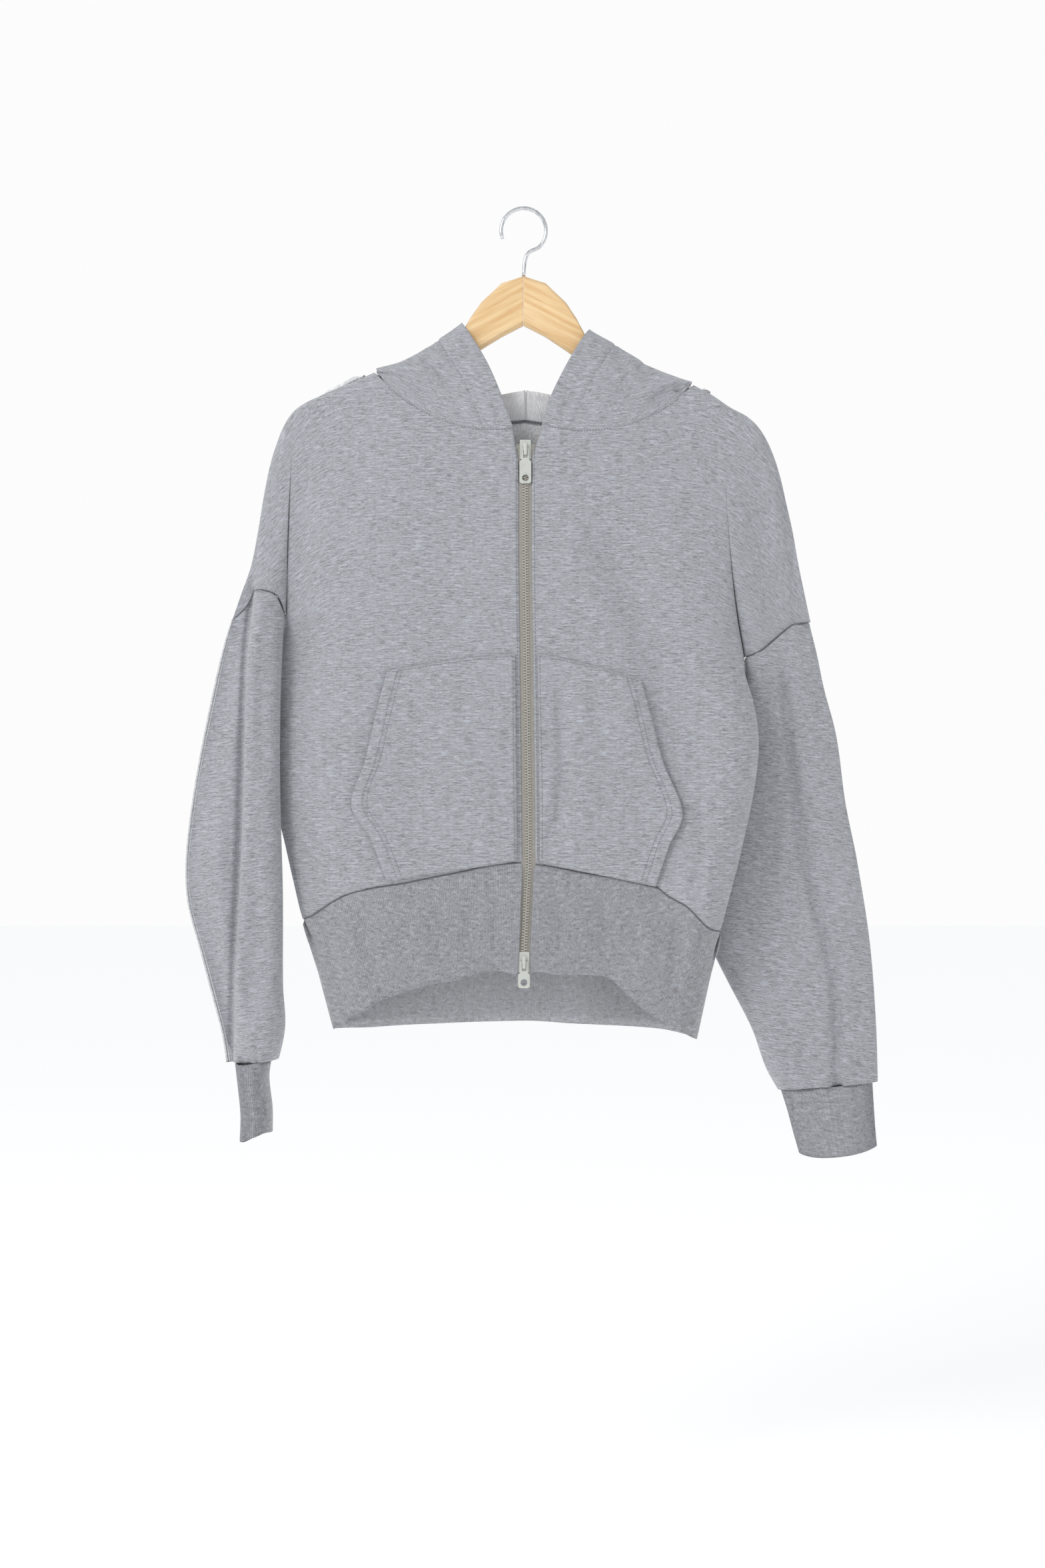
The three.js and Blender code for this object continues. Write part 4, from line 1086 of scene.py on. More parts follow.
@dataclass
class Ribbing:
    """The hem band and the two cuffs, with their true 1x1 ribs."""

    band_rows: int = 20
    cuff_rows: int = 14
    samples: int = 4

    def band_half(self, side: Side, face: Face) -> Patch:
        """One quarter of the band from the middle to the side fold, rows run round, columns down."""
        front = face is Face.FRONT
        width, _ = band_corner(side)
        count = int(round(width / RIB_PITCH)) * self.samples
        share = np.linspace(0, 1, count + 1)[:, None]
        down = (np.linspace(0, 1, self.band_rows + 1) ** 1.4)[None, :]
        top_from = side.sign * float(ZIP_LINE(BAND_TOP_Z)) + ZIP_HALF if front else side.sign * NECK_BACK_X
        hem_from = side.sign * float(ZIP_LINE(BAND_FOOT_Z)) + ZIP_HALF if front else side.sign * NECK_BACK_X
        top_x = mix(top_from, width, share)
        hem_x = mix(hem_from, side.body(SIDE_HEM_Z), share)
        top_z = seam_height(side, face, top_x) - SEAM
        hem_z = BAND_HEM(side.sign * hem_x) if front else BACK_HEM(side.sign * hem_x)
        x = mix(top_x, hem_x, down)
        z = mix(top_z, hem_z, down)
        across = mix(np.abs(x - side.body(z)), (1 - share) * width, ease(2 * down))
        y = depth(side, Part.BODY, face, np.abs(x), z, False, across)
        edge = 1 - share
        sink = 1.6 * creases_sum(BAND_CREASES, side.sign * x, z) * ease(edge / 0.1) * ease(down / 0.2)
        y = y - face.value * sink * (1.0 if front else 0.7)
        rib = RIB_RELIEF * np.cos(2 * np.pi * share * width / RIB_PITCH)
        rib = rib * ease(down / 0.04) * ease((1 - down) / 0.04)
        y = y + face.value * rib * ease(edge / 0.012)
        x = x + rib * (1 - ease(edge / 0.012))
        puff = 1.6 * np.sin(np.pi * np.clip(down, 0, 1)) * ease(edge / 0.1)
        y = y + face.value * (puff - 1.0 * (1 - ease(down * 100 / 4)) * ease(edge / 0.05))
        points = np.stack([side.sign * x, y, z], axis=-1)
        cloth = np.stack([np.broadcast_to(share * width, x.shape), z], axis=-1)
        return Patch(points, cloth, side.sign * face.value > 0)

    def cuff(self, side: Side) -> Patch:
        """A cuff as rings under the sleeve's end."""
        rows = {
            "left": [[0, 228, 259.5, -6, 27], [18, 230.5, 257, -6, 30], [44, 227.5, 254.5, -6, 32],
                     [65.5, 227.5, 255, -6, 32]],
            "right": [[0, 234.5, 317, 10, 11], [18, 240, 318, 10, 13], [42, 246, 319.5, 10, 13.5],
                      [60, 251, 321, 10, 13.5]],
        }[side.name]
        table = Table(rows)
        longest = rows[-1][0]
        drop = np.linspace(0, longest, self.cuff_rows + 1)[:, None]
        ribs = 104 if side is RIGHT else 74
        turn = np.linspace(0, 2 * np.pi, ribs * self.samples + 1)[None, :]

        def soft(v: Array) -> Array:
            """Sign-keeping power that squares an ellipse slightly."""
            return np.sign(v) * np.abs(v) ** 0.8

        across = 0.5 - 0.5 * soft(np.cos(turn))
        rib = RIB_RELIEF * np.cos(turn * ribs)
        grow = 1 + rib / 30
        in_x, out_x, mid_y, half = (table(drop, c) for c in (1, 2, 3, 4))
        half = half * (1 + 0.05 * np.sin(drop * 0.11))
        x = mix(in_x, out_x, across)
        mid_x = (in_x + out_x) / 2
        wave = 2.6 * np.sin(2 * turn + 0.7 + side.sign) * ease(drop / longest)
        y = mid_y - half * soft(np.sin(turn)) * grow + rib * -np.sign(np.sin(turn)) * 0.6
        x = mid_x + (x - mid_x) * grow
        z = mix(side.cuff_in, side.cuff_out, across) - drop - 0.5 + wave
        cloth = np.stack([np.broadcast_to(turn / (2 * np.pi) * ribs * RIB_PITCH, x.shape), z], axis=-1)
        points = np.stack([side.sign * x, y, z], axis=-1)
        points[:, -1] = points[:, 0]
        return Patch(points, cloth, side.sign > 0)

    def build(self, looks: Wardrobe) -> list[bpy.types.Object]:
        """Make and dress the band and the cuffs."""
        quarters = [self.band_half(side, face) for side in SIDES for face in Face]
        band = make_object("rib_hem_band", *weld(quarters))
        # The band's inside takes the rib copy brightened with painted light.
        finish_cloth(band, "hem_band", looks.rib, looks.rib_inside_painted_light)
        made = [band]
        for side in SIDES:
            cuff = make_object(f"rib_cuff_{side.name}", *weld([self.cuff(side)]))
            made.append(finish_cloth(cuff, f"cuff_{side.name}", looks.rib, looks.rib))
            flat = (0.24, 0.070) if side is RIGHT else (0.20, 0.070)
            flat[0] * flat[1]
        return made


@dataclass
class Pockets:
    """The two halves of the kangaroo pocket, lying on the fronts."""

    rows: int = 96
    across: int = 72
    lift: float = CLOTH + SEAM + 0.4
    hem: float = 14.0

    def place(self, side: Side, down: Array, share: Array) -> tuple[Array, Array]:
        """The pocket's outline filled by straight rows from the zip edge to the opening edge."""
        zip_z = side.pocket(down, 3)
        zip_x = side.sign * ZIP_LINE(zip_z) + ZIP_HALF + 4
        x = mix(zip_x, side.pocket(down, 1), share)
        z = mix(zip_z, side.pocket(down, 2), share) + 6 * share * (1 - share) * (1 - down)
        return x, z

    def surface(self, side: Side, down: Array, share: Array, above: float = 0.0) -> Array:
        """Points of the pocket's outer face.

        Args:
            side: The garment's side.
            down: Share from the top edge to the foot.
            share: Share from the zip to the opening.
            above: How far to stand off the cloth.

        Returns:
            Points in millimetres.
        """
        x, z = self.place(side, down, share)
        y = depth(side, Part.BODY, Face.FRONT, x, z) - self.lift - above
        end_x, end_z = self.place(side, down, 1 + 0 * share)
        width = np.hypot(x - end_x, z - end_z)
        hem = ease((self.hem - width) / 1.5)
        stitch = np.exp(-(((width - self.hem + 1.5) / 1.1) ** 2))
        gape = 2.2 * ease((46 - width) / 40) * np.sin(np.pi * np.clip((down - 0.08) / 0.9, 0, 1))
        y = y - 0.7 * hem + 1.0 * stitch - gape
        for edge in (share * 110, down * 180, (1 - down) * 180):
            y = y + 1.3 * (1 - ease(edge / 2.6))
        return np.stack([side.sign * x, y, z], axis=-1)

    def build(self, looks: Wardrobe) -> list[bpy.types.Object]:
        """Make and dress both halves with their topstitching."""
        made = []
        for side in SIDES:
            down = np.linspace(0, 1, self.rows + 1)[:, None]
            share = np.linspace(0, 1, self.across + 1)[None, :]
            points = self.surface(side, down, share)
            cloth = grain(np.abs(points[..., 0]), points[..., 2]) + 300.0
            patch = Patch(points, cloth, side.sign > 0)
            piece = make_object(f"cloth_pocket_{side.name}", *weld([patch]))
            finish_cloth(piece, f"pocket_{side.name}", looks.jersey, looks.fleece)
            made.append(piece)
            steps = np.linspace(0.012, 0.988, 160)
            lines = []
            for inset in (self.hem, self.hem - 4.4):
                reach = self.reach(side, steps)
                lines.append(self.surface(side, steps, 1 - inset / reach, 0.1))
            across = np.linspace(0.02, 0.97, 90)
            lines.append(self.surface(side, np.full_like(across, 0.012), across, 0.1))
            inner = np.linspace(0.01, 0.99, 120)
            lines.append(self.surface(side, inner, np.full_like(inner, 0.02), 0.1))
            made.append(stitch_run(f"stitches_pocket_{side.name}", lines, looks.thread))
        return made

    def reach(self, side: Side, down: Array) -> Array:
        """Width of the pocket at each row."""
        ax, az = self.place(side, down, np.zeros_like(down))
        bx, bz = self.place(side, down, np.ones_like(down))
        return np.hypot(bx - ax, bz - az)


def resample(line: Array, pitch: float) -> Array:
    """Points along a line at even spacing."""
    lengths = np.concatenate([[0.0], np.cumsum(np.linalg.norm(np.diff(line, axis=0), axis=1))])
    at = np.arange(pitch / 2, lengths[-1], pitch)
    return np.stack([np.interp(at, lengths, line[:, k]) for k in range(3)], axis=-1)


def spindles(starts: Array, ends: Array, radius: float, sides: int = 6) -> tuple[Array, Array]:
    """Closed thin spindles between pairs of points: a ring at each third and a tip at each end.

    Args:
        starts: First tips.
        ends: Second tips.
        radius: Thickness in the middle.
        sides: Corners around.

    Returns:
        Vertices and quads, where tips repeat a corner.
    """
    along = ends - starts
    axis = along / np.maximum(np.linalg.norm(along, axis=1, keepdims=True), 1e-9)
    helper = np.where(np.abs(axis[:, 1:2]) < 0.9, np.array([[0.0, 1.0, 0.0]]), np.array([[1.0, 0.0, 0.0]]))
    across = np.cross(axis, helper)
    across /= np.linalg.norm(across, axis=1, keepdims=True)
    up = np.cross(axis, across)
    turn = np.arange(sides) * 2 * np.pi / sides
    circle = across[:, None, :] * np.cos(turn)[None, :, None] + up[:, None, :] * np.sin(turn)[None, :, None]
    rings = [starts[:, None] + along[:, None] * t + circle * radius for t in (0.22, 0.78)]
    points = np.concatenate([starts[:, None], rings[0], rings[1], ends[:, None]], axis=1)
    k = np.arange(sides)
    n = (k + 1) % sides
    first, second, last = 1 + k, 1 + sides + k, np.full(sides, 1 + 2 * sides)
    zero = np.zeros(sides, dtype=int)
    quads = np.concatenate([
        np.stack([zero, 1 + k, 1 + n, 1 + n], axis=-1),
        np.stack([first, second, 1 + sides + n, 1 + n], axis=-1),
        np.stack([second, last, last, 1 + sides + n], axis=-1),
    ])
    size = points.shape[1]
    faces = quads[None] + (np.arange(len(starts)) * size)[:, None, None]
    return points.reshape(-1, 3), faces.reshape(-1, 4)


def sew(name: str, starts: Array, ends: Array, radius: float, look: bpy.types.Material) -> bpy.types.Object:
    """Threads between pairs of points, as one dressed piece that rides the garment.

    Args:
        name: The piece's name.
        starts: First tips.
        ends: Second tips.
        radius: Half a thread.
        look: The thread's material.

    Returns:
        The dressed piece.
    """
    made = make_object(name, *spindles(starts, ends, radius))
    made.data.materials.append(look)
    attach(made, "garment")
    return made


def stitch_run(name: str, lines: Sequence[Array], look: bpy.types.Material, length: float = 2.7,
               pitch: float = 3.3, radius: float = 0.3) -> bpy.types.Object:
    """Sewn stitches along lines, all in one mesh.

    Args:
        name: The piece's name.
        lines: Polylines in millimetres.
        look: The thread's material.
        length: One stitch's length.
        pitch: Distance from stitch to stitch.
        radius: Half a thread.

    Returns:
        The dressed piece.
    """
    starts, ends = [], []
    for line in lines:
        places = resample(line, pitch)
        ways = np.gradient(places, axis=0)
        ways /= np.linalg.norm(ways, axis=1, keepdims=True)
        starts.append(places - ways * length / 2)
        ends.append(places + ways * length / 2)
    return sew(name, np.concatenate(starts), np.concatenate(ends), radius, look)


def overlock(name: str, line: Array, across: Array, look: bpy.types.Material, width: float = 4.0,
             pitch: float = 1.1, radius: float = 0.32) -> bpy.types.Object:
    """Overlock threads that cross a seam one after another.

    Args:
        name: The piece's name.
        line: The seam in millimetres.
        across: Unit vector across the seam, one or for each point.
        look: The thread's material.
        width: Length of each thread.
        pitch: Distance between threads.
        radius: Half a thread.

    Returns:
        The dressed piece.
    """
    places = resample(line, pitch)
    way = np.broadcast_to(across, places.shape) * width / 2
    slant = np.gradient(places, axis=0) * 0.5
    return sew(name, places - way - slant, places + way + slant, radius, look)


@dataclass
class Hood:
    """Two halves from the front neck over the hanger, down behind as a pouch and back over the nape."""

    along: int = 9
    across: int = 72
    start: float = 0.1
    neck_gap: float = -0.8
    hem: float = 27.0
    rows: dict = field(default_factory=lambda: {
        # start x, y, z, pull x, y, z, edge x, y, z, row by row
        "left": [
            [129, -8.5, -151, 82, -15, -206, 9.4, -17, -198.8],
            [131, -9, -149.5, 83, -15, -185, 19.5, -16.5, -171],
            [132, -8.5, -148.5, 87, -14, -164, 32.5, -15, -141],
            [132.6, -7, -147, 92, -12.5, -147, 47.5, -13.5, -116],
            [133, 0, -144.5, 97, 0, -134, 55.8, 0, -102.5],
            [133, 8.5, -147, 93, 13, -141, 48, 13.5, -117],
            [133.5, 13, -152, 92, 21, -166, 27, 21, -160],
            [134, 17.5, -157, 96, 30, -208, -1.85, 29, -206],
            [134.5, 22, -164, 108, 41, -262, -1.85, 41, -272],
            [134, 25, -171, 120, 45, -312, -1.85, 45, -340],
            [133, 24, -175, 118, 39, -355, -1.85, 39, -394],
            [131, 20.5, -174, 112, 30, -352, -1.85, 30, -398],
            [129.5, 18.5, -170, 112, 24.5, -318, -1.85, 26, -350],
            [128.5, 17, -166, 108, 20.5, -262, -1.85, 21.5, -285],
            [127.5, 15.5, -163, 98, 17, -212, -1.85, 17, -215],
            [127, 14, -160, 88, 14.5, -184, -1.85, 14, -174],
            [126.5, 12.3, -156.5, 84, 12, -180, -1.85, 11.8, -163],
            [126.2, 10.3, -153, 82, 9.8, -184, -1.85, 9.4, -172],
            [126, 9, -160, 80, 10.2, -200, -1.85, 10.2, -189.4],
        ],
        "right": [
            [147.5, -8.5, -162, 96, -15, -215, 16.4, -17, -195.2],
            [149, -9, -160.5, 96, -15, -193, 24, -16.5, -172],
            [150.5, -8.5, -159.5, 98, -14, -172, 36.5, -15, -146],
            [151.5, -7, -158, 103, -12.5, -155, 51, -13.5, -121],
            [152.5, 0, -155.5, 104, 0, -139, 59.5, 0, -108.5],
            [152, 8.5, -158, 99, 13, -147, 51, 13.5, -124],
            [152.5, 13, -163, 98, 21, -172, 30, 21, -162],
            [153, 17.5, -168, 101, 30, -212, 2.15, 29, -206],
            [153, 22, -175, 112, 41, -264, 2.15, 41, -272],
            [152, 25, -182, 124, 45, -312, 2.15, 45, -340],
            [150, 24, -186, 120, 39, -352, 2.15, 39, -394],
            [148, 20.5, -185, 114, 30, -350, 2.15, 30, -398],
            [146.5, 18.5, -181, 114, 24.5, -318, 2.15, 26, -350],
            [145.5, 17, -177, 110, 20.5, -264, 2.15, 21.5, -285],
            [144.5, 15.5, -174, 101, 17, -214, 2.15, 17, -215],
            [144, 14, -171, 92, 14.5, -188, 2.15, 14, -174],
            [143.5, 12.3, -167.5, 88, 12, -184, 2.15, 11.8, -163],
            [143.2, 10.3, -163, 86, 9.8, -187, 2.15, 9.4, -172],
            [143, 9, -171, 84, 10.2, -204, 2.15, 10.2, -189.4],
        ],
    })
    front_creases: tuple[Crease, ...] = (
        Crease(((-88.6, -126), (-81, -126), (-73, -131), (-66.5, -137), (-62, -143.6)), 4.2, 2.6),
        Crease(((-96, -132.6), (-86, -138), (-78, -147), (-71, -154), (-63, -162), (-53, -168)), 5.5, 3.4),
        Crease(((-92, -126), (-80, -134), (-70, -144), (-58, -156)), 5.0, -1.8),
        Crease(((-118, -144), (-104, -152), (-92, -164), (-84, -176)), 7.0, 2.4),
        Crease(((-60, -168), (-48, -180), (-38, -190)), 6.0, -1.6),
        Crease(((110.6, -177), (124, -171), (138, -165), (149, -162.5)), 5.0, 4.4),
        Crease(((96, -176), (112, -168), (130, -160), (144, -158)), 6.0, -2.6),
        Crease(((78, -126), (88, -138), (94, -152), (92, -168)), 6.5, 2.4),
        Crease(((60, -150), (72, -162), (80, -178)), 7.5, -1.8),
        Crease(((104, -136), (112, -148), (114, -160)), 5.0, 2.4),
        Crease(((40, -166), (52, -178), (60, -190)), 7.0, 1.8),
    )
    pouch_creases: tuple[Crease, ...] = (
        Crease(((-110, -190), (-96, -250), (-90, -310)), 12, 3.0),
        Crease(((-60, -220), (-52, -290), (-60, -360)), 13, -3.0),
        Crease(((-20, -300), (-26, -340), (-22, -380)), 9, 2.4),
        Crease(((112, -200), (100, -260), (104, -330)), 12, 3.2),
        Crease(((60, -230), (66, -290), (56, -350)), 12, 2.4),
        Crease(((30, -210), (26, -270), (32, -330)), 11, -2.4),
        Crease(((-80, -345), (0, -362), (80, -345)), 12, 2.0),
    )

    def surface(self, side: Side, row: Array, out: Array) -> Array:
        """Points of the hood's outer face before creases.

        Args:
            side: The garment's side.
            row: Row number, from the front neck seam round to the back one.
            out: Share from the shoulder to the face edge or middle seam.

        Returns:
            Points with x counted outwards.
        """
        rows = self.rows[side.name]
        last = len(rows) - 1
        read = Table([[k, *values] for k, values in enumerate(rows)])
        row, out = np.broadcast_arrays(row, out)
        a, b, c = (np.stack([read(row, first + k) for k in range(3)], axis=-1) for first in (1, 4, 7))
        point = bend(a, b, c, out[..., None])
        hold = np.clip(1 - np.minimum(row, last - row), 0, 1)
        for face in Face:
            seam = neck_edge(side, face, mix(self.start, 1, out))
            y = depth(side, Part.BODY, face, np.abs(seam[..., 0]), seam[..., 1], creased=False)
            seam_point = np.stack([seam[..., 0], y, seam[..., 1] + self.neck_gap], axis=-1)
            here = (row < last / 2) if face is Face.FRONT else (row >= last / 2)
            point = np.where(here[..., None], mix(point, seam_point, hold[..., None]), point)
        return point

    def creased(self, side: Side, row: Array, out: Array, above: float = 0.0) -> Array:
        """Points of the hood's outer face with hem, creases and lumps, moved along the surface's normal."""
        row, out = np.broadcast_arrays(row, out)
        base = self.surface(side, row, out)
        step_row = self.surface(side, row + 0.02, out) - self.surface(side, row - 0.02, out)
        step_out = self.surface(side, row, out + 0.004) - self.surface(side, row, out - 0.004)
        normal = np.cross(step_row, step_out)
        normal /= np.maximum(np.linalg.norm(normal, axis=-1, keepdims=True), 1e-9)
        x, z = side.sign * base[..., 0], base[..., 2]
        last = len(self.rows[side.name]) - 1
        in_front = ease((5.2 - row) / 0.8)
        outside = ease((row - 5.6) / 0.8) * ease((12 - row) / 1.5)
        sink = creases_sum(self.front_creases, x, z) * in_front
        sink = sink + creases_sum(self.pouch_creases, x, z) * outside
        lumps = 0.8 * np.sin(row * 2.3 + out * 5 + side.sign) + 0.6 * np.sin(row * 5.1 - out * 9)
        lumps = lumps * ease(row / 1.2) * ease((last - row) / 1.5)
        gap = self.edge_gap(side, row, out)
        is_face = ease((6.6 - row) / 0.6)
        hem = is_face * (0.5 * ease((self.hem - gap) / 1.5) - 0.9 * np.exp(-(((gap - self.hem) / 1.3) ** 2)))
        middle_seam = (1 - is_face) * -1.0 * np.exp(-((gap / 1.6) ** 2))
        from_neck = np.minimum(row, last - row) * 25
        neck = 0.5 * np.exp(-(((from_neck - 5) / 3.0) ** 2)) - 0.7 * np.exp(-((from_neck / 1.8) ** 2))
        shift = (lumps - sink) * ease(gap / 10) + hem + middle_seam + neck + above
        moved = base + normal * shift[..., None]
        moved[..., 0] = np.maximum(moved[..., 0], self.rows[side.name][-1][6])
        for face, mask in ((Face.FRONT, row < 4), (Face.BACK, (row > 4) & (row < 10))):
            cleared = HANGER.keep_off(side.sign, face, moved[..., 0], moved[..., 1], moved[..., 2])
            moved[..., 1] = np.where(mask, cleared, moved[..., 1])
        moved[..., 0] *= side.sign
        return moved

    def edge_gap(self, side: Side, row: Array, out: Array) -> Array:
        """Rough distance to the end of each row along the cloth."""
        ends = self.surface(side, row, np.ones_like(out))
        here = self.surface(side, row, out)
        return np.linalg.norm(ends - here, axis=-1)

    def build(self, looks: Wardrobe) -> list[bpy.types.Object]:
        """Make and dress both halves and the hem's topstitch."""
        made = []
        for side in SIDES:
            last = len(self.rows[side.name]) - 1
            row = np.linspace(0, last, last * self.along + 1)[:, None]
            out = np.linspace(0, 1, self.across + 1)[None, :]
            points = self.creased(side, row, out)
            lengths = np.linalg.norm(np.diff(points, axis=0), axis=-1)
            run = np.concatenate([np.zeros((1, points.shape[1])), np.cumsum(lengths, axis=0)])
            cloth = np.stack([np.broadcast_to(out * 150, run.shape), run], axis=-1)
            piece = make_object(f"cloth_hood_{side.name}", *weld([Patch(points, cloth, side.sign > 0)]))
            finish_cloth(piece, f"hood_{side.name}", looks.jersey, looks.fleece)
            made.append(piece)
            rows = np.linspace(0.35, 6.3, 180)
            outs = np.full_like(rows, 1.0)
            for _ in range(12):
                gap = self.edge_gap(side, rows, outs)
                outs = np.clip(outs - (self.hem - gap) / 130, 0.2, 1.0)
            line = self.creased(side, rows, outs, 0.15)
            made.append(stitch_run(f"stitches_hood_{side.name}", [line], looks.thread))
        return made


@dataclass
class Zip:
    """Tapes, teeth and the topstitching along both fronts' edges."""

    tooth_pitch: float = 2.5
    rows: int = 180

    def front_y(self, z: Array) -> Array:
        """Depth of the cloth beside the zip."""
        return depth(LEFT, Part.BODY, Face.FRONT, np.full(np.shape(z), 4.0), z, creased=False)

    def tape(self, side: Side, looks: Wardrobe) -> bpy.types.Object:
        """One tape under its front's edge."""
        z = np.linspace(ZIP_TOP, ZIP_FOOT, self.rows + 1)[:, None]
        share = np.linspace(0, 1, 9)[None, :]
        out = mix(SEAM / 2, ZIP_HALF + 7.0, share) + side.sign * ZIP_LINE(z)
        z = np.broadcast_to(z, out.shape)
        y = depth(side, Part.BODY, Face.FRONT, np.maximum(4.0, out), z, creased=False) + TAPE_BACK
        points = np.stack([side.sign * out, y, z], axis=-1)
        cloth = np.stack([out, z], axis=-1)
        piece = make_object(f"zip_tape_cloth_{side.name}", *weld([Patch(points, cloth, side.sign < 0)]))
        finish_cloth(piece, f"zip_tape_{side.name}", looks.tape, looks.tape, 0.9)
        return piece

    def teeth(self, side: Side, looks: Wardrobe) -> bpy.types.Object:
        """Teeth as small bevelled blocks that reach over the zip's middle in turn."""
        z = np.arange(ZIP_TOP - 16, ZIP_FOOT + 14, -self.tooth_pitch)
        if side.sign > 0:
            z = z - self.tooth_pitch / 2
        y = self.front_y(z) + TAPE_BACK - 0.9
        x = ZIP_LINE(z) + side.sign * 1.15
        half = np.array([1.75, 0.95, 0.62])
        signs = np.array([[a, b, c] for a in (-1, 1) for b in (-1, 1) for c in (-1, 1)], dtype=float)
        centre = np.stack([x, y, z], axis=-1)
        outer = signs * half
        corners = (centre[:, None, :] + outer[None]).reshape(-1, 3)
        box = np.array([[0, 1, 3, 2], [4, 6, 7, 5], [0, 4, 5, 1], [2, 3, 7, 6], [0, 2, 6, 4], [1, 5, 7, 3]])
        faces = (box[None] + (np.arange(len(z)) * 8)[:, None, None]).reshape(-1, 4)
        piece = make_object(f"zip_teeth_{side.name}", corners, faces)
        bevel = piece.modifiers.new("soft", "BEVEL")
        bevel.width = 0.28 * MM
        bevel.segments = 2
        piece.data.materials.append(looks.teeth)
        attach(piece, "garment")
        return piece

    def topstitch(self, side: Side, looks: Wardrobe) -> bpy.types.Object:
        """A row of stitches beside the zip, from under the hood to the band."""
        z = np.linspace(-212, -588, 260)
        x = side.sign * ZIP_LINE(z) + ZIP_HALF + 2.2
        y = depth(side, Part.BODY, Face.FRONT, x, z) - 0.15
        lines = [np.stack([side.sign * x, y, z], axis=-1)]
        return stitch_run(f"stitches_zip_{side.name}", lines, looks.thread)

    def build(self, looks: Wardrobe) -> list[bpy.types.Object]:
        """Make and dress the zip."""
        made = []
        for side in SIDES:
            made += [self.tape(side, looks), self.teeth(side, looks), self.topstitch(side, looks)]
        return made


@dataclass
class Hardware:
    """Softened copies of the wood, wire, sliders and pulls."""

    def soften(self, name: str, body: str, look: bpy.types.Material,
               width: float) -> bpy.types.Object:
        """Copy a node, merge its corners and round its edges.

        Args:
            name: The node.
            body: The body it rides on.
            look: Its material.
            width: The rounding in millimetres, or 0 for a swept wire.

        Returns:
            The piece that stands for the node.
        """
        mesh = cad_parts[name].data.copy()
        mesh.name = f"{name}_finish"
        shape = bmesh.new()
        shape.from_mesh(mesh)
        bmesh.ops.remove_doubles(shape, verts=shape.verts, dist=2e-6)
        if width:
            flat = math.radians(1.0)
            bmesh.ops.dissolve_limit(shape, angle_limit=flat, verts=shape.verts, edges=shape.edges)
        shape.to_mesh(mesh)
        shape.free()
        mesh.materials.clear()
        mesh.materials.append(look)
        mesh.polygons.foreach_set("use_smooth", np.ones(len(mesh.polygons), dtype=bool))
        mesh.set_sharp_from_angle(angle=math.radians(50))
        piece = bpy.data.objects.new(f"{name}_finish", mesh)
        bpy.context.scene.collection.objects.link(piece)
        if width:
            bevel = piece.modifiers.new("rounded", "BEVEL")
            bevel.width = width * MM
            bevel.segments = 3
            bevel.angle_limit = math.radians(35)
        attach(piece, body)
        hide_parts(name)
        return piece

    def build(self, looks: Wardrobe) -> list[bpy.types.Object]:
        """Make and dress the hanger, hook, sliders and pulls."""
        made = []
        for name, slope in (("hanger_arm_left", 0.47), ("hanger_arm_right", -0.47)):
            wood = HangerWood(f"pale_wood_{name}", slope).dress()
            made.append(self.soften(name, "garment", wood, 0.8))
        made.append(self.soften("hook", "garment", looks.wire, 0.0))
        for name in ("slider_top", "slider_foot"):
            made.append(self.soften(name, "garment", looks.painted, 0.45))
        made.append(self.soften("pull_top", "pull_top_tab", looks.painted, 0.35))
        made.append(self.soften("pull_foot", "pull_foot_tab", looks.painted, 0.35))
        return made


@dataclass
class SeamShadeLines:
    """Painted shade: thin dark tubes laid in the grooves between pieces, where the seams fall into shade."""

    length: float = 2.4
    pitch: float = 2.2
    radius: float = 0.42

    def lift(self, side: Side, part: Part, face: Face, x: Array, z: Array, sunk: float) -> Array:
        """Points on the cloth, sunk a little."""
        y = depth(side, part, face, x, z) - face.value * sunk
        y = HANGER.keep_off(side.sign, face, x, y, z)
        return np.stack([side.sign * x, y, z], axis=-1)

    def lines(self, side: Side) -> list[Array]:
        """Neck, armhole and band seams of one side, in front and behind."""
        found = []
        share = np.linspace(0, 1, 160)
        _, corner_z = band_corner(side)
        for face in Face:
            if face is Face.FRONT:
                neck = neck_edge(side, face, np.linspace(0.1, 1, 160))
                found.append(self.lift(side, Part.BODY, face, neck[:, 0], neck[:, 1], 1.0))
            spread = 0.04 + 0.92 * share
            x = mix(side.arm(side.underarm), side.outer(side.tip), spread)
            z = mix(side.underarm, side.tip, spread) + side.seam(spread) - 0.2
            found.append(self.lift(side, Part.ARM, face, x, z, 1.1))
            first = side.sign * float(ZIP_LINE(BAND_TOP_Z)) + ZIP_HALF + 0.5 if face is Face.FRONT else 0.5
            x = mix(first, float(side.body(corner_z)) - 1.5, share)
            found.append(self.lift(side, Part.BODY, face, x, seam_height(side, face, x) - 0.1, 0.9))
        return found

    def build(self, looks: Wardrobe) -> list[bpy.types.Object]:
        """Make one piece for each side."""
        sizes = (self.length, self.pitch, self.radius)
        return [
            stitch_run(f"seams_{side.name}", self.lines(side), looks.seam_shade_and_thread, *sizes) for side in SIDES
        ]


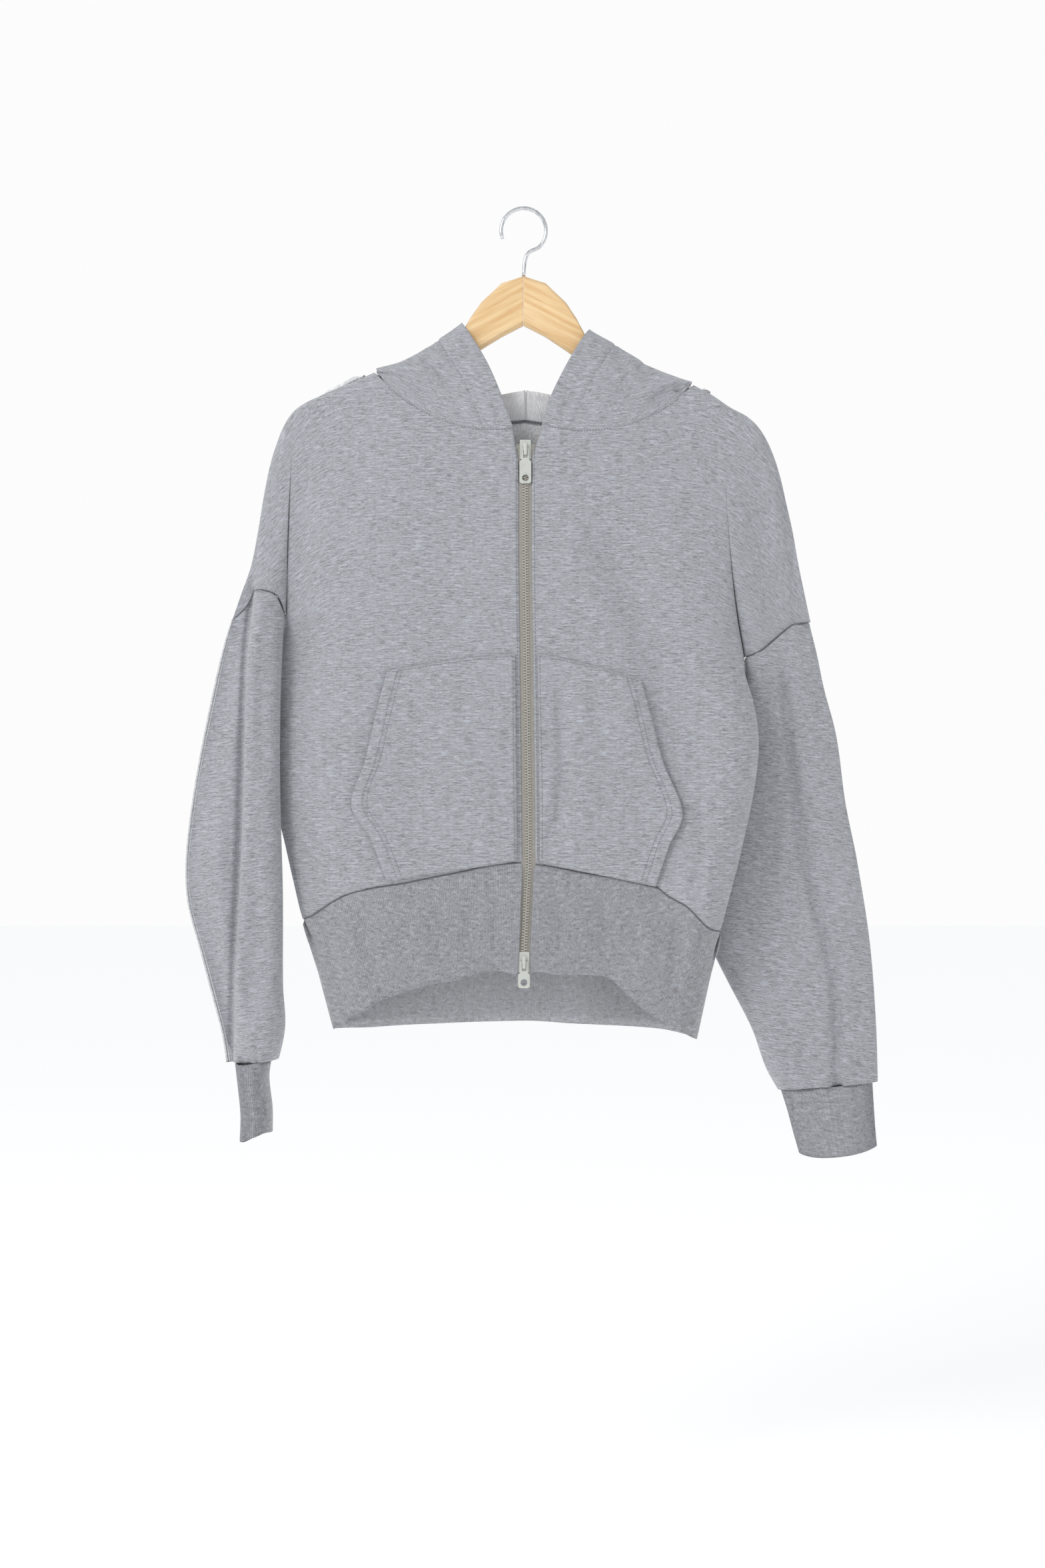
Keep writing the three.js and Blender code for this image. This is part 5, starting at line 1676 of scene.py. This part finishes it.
@dataclass
class NeckSeam:
    """The thick overlocked seam inside the nape and the stitches beside the front neck seam."""

    def build(self, looks: Wardrobe) -> list[bpy.types.Object]:
        """Make the overlock inside and two front stitch rows."""
        inside = []
        for side in SIDES:
            seam = neck_edge(side, Face.BACK, np.linspace(0.35, 1, 60))
            y = depth(side, Part.BODY, Face.BACK, np.abs(seam[:, 0]), seam[:, 1], creased=False) - CLOTH - 0.9
            line = np.stack([side.sign * seam[:, 0], y, seam[:, 1]], axis=-1)
            inside.append(line if side.sign < 0 else line[::-1])
        whole = np.concatenate(inside)
        made = [overlock("overlock_nape", whole, np.array([0.0, 0.0, 1.0]), looks.seam_shade_and_thread)]
        for side in SIDES:
            seam = neck_edge(side, Face.FRONT, np.linspace(0.12, 0.96, 160))
            z = seam[:, 1] - 1.6
            y = depth(side, Part.BODY, Face.FRONT, seam[:, 0], z) - 0.1
            y = HANGER.keep_off(side.sign, Face.FRONT, seam[:, 0], y, z)
            line = np.stack([side.sign * seam[:, 0], y, z], axis=-1)
            made.append(stitch_run(f"stitches_neck_{side.name}", [line], looks.seam_shade_and_thread, 1.4, 2.6, 0.28))
        return made


@dataclass
class Studio:
    """White surroundings, soft lights and the photo's camera."""

    camera_at: tuple[float, float, float] = (-0.001, -1.920, -0.5195)
    lens: float = 48.7
    ambient: float = 0.73

    def light(self, name: str, place: tuple, aim: tuple, size: float, power: float) -> None:
        """One soft area light.

        Args:
            name: The light's name.
            place: Where it stands.
            aim: What it points at.
            size: Its edge.
            power: Its power in watts.
        """
        data = bpy.data.lights.new(name, "AREA")
        data.shape = "SQUARE"
        data.size = size
        data.energy = power
        lamp = bpy.data.objects.new(name, data)
        bpy.context.scene.collection.objects.link(lamp)
        lamp.location = place
        way = np.array(aim) - np.array(place)
        flat = math.hypot(way[0], way[1])
        lamp.rotation_euler = (math.atan2(flat, -way[2]), 0.0, math.atan2(way[1], way[0]) - math.pi / 2)

    def build(self) -> None:
        """Place the floor, the world, the lights and the camera."""
        mesh = bpy.data.meshes.new("floor")
        far, low = 9.0, -1.25
        corners = [(-far, -far, low), (far, -far, low), (far, far, low), (-far, far, low)]
        mesh.from_pydata(corners, [], [(0, 1, 2, 3)])
        floor = bpy.data.objects.new("floor", mesh)
        bpy.context.scene.collection.objects.link(floor)
        white = Shader("studio_white", Roughness=1.0, Emission_Color=(1, 1, 1, 1), Emission_Strength=0.3)
        spot = white.place(from_object=True)
        faint = white.noise(spot, (3, 3, 3), 1.0)
        white.link("Base Color", white.blend(faint * 0.04, (0.90, 0.90, 0.90, 1), (0.86, 0.86, 0.86, 1)))
        mesh.materials.append(white.material)
        world = bpy.data.worlds.new("studio")
        world.use_nodes = True
        nodes, links = world.node_tree.nodes, world.node_tree.links
        dim, shown = nodes["Background"], nodes.new("ShaderNodeBackground")
        dim.inputs["Color"].default_value = (0.97, 0.985, 1.0, 1)
        dim.inputs["Strength"].default_value = self.ambient
        shown.inputs["Color"].default_value = (0.975, 0.975, 0.975, 1)
        path, either = nodes.new("ShaderNodeLightPath"), nodes.new("ShaderNodeMixShader")
        links.new(path.outputs["Is Camera Ray"], either.inputs[0])
        links.new(dim.outputs[0], either.inputs[1])
        links.new(shown.outputs[0], either.inputs[2])
        links.new(either.outputs[0], nodes["World Output"].inputs["Surface"])
        bpy.context.scene.world = world
        bpy.context.scene.view_settings.view_transform = "Standard"
        self.light("key", (-1.6, -1.7, 1.0), (0, 0, -0.45), 0.8, 27)
        self.light("fill", (1.9, -2.2, -0.3), (0, 0, -0.5), 1.8, 3)
        camera_data = bpy.data.cameras.new("camera")
        camera_data.lens = self.lens
        camera_data.sensor_fit = "VERTICAL"
        camera_data.sensor_height = 36
        camera = bpy.data.objects.new("camera", camera_data)
        camera.location = self.camera_at
        camera.rotation_euler = (math.pi / 2, 0, 0)
        bpy.context.scene.collection.objects.link(camera)
        bpy.context.scene.camera = camera


def main() -> None:
    """Build every sub-assembly in order."""
    looks = Wardrobe()
    builders = (
        BodyPanels(), Sleeves(), Ribbing(), Pockets(), Hood(), Zip(), SeamShadeLines(), NeckSeam(), Hardware(),
    )
    for builder in builders:
        for piece in builder.build(looks):
            LOG.info("built %s with %d faces", piece.name, len(piece.data.polygons))
    Studio().build()


if __name__ == "__main__":
    logging.basicConfig(level=logging.INFO)
    main()
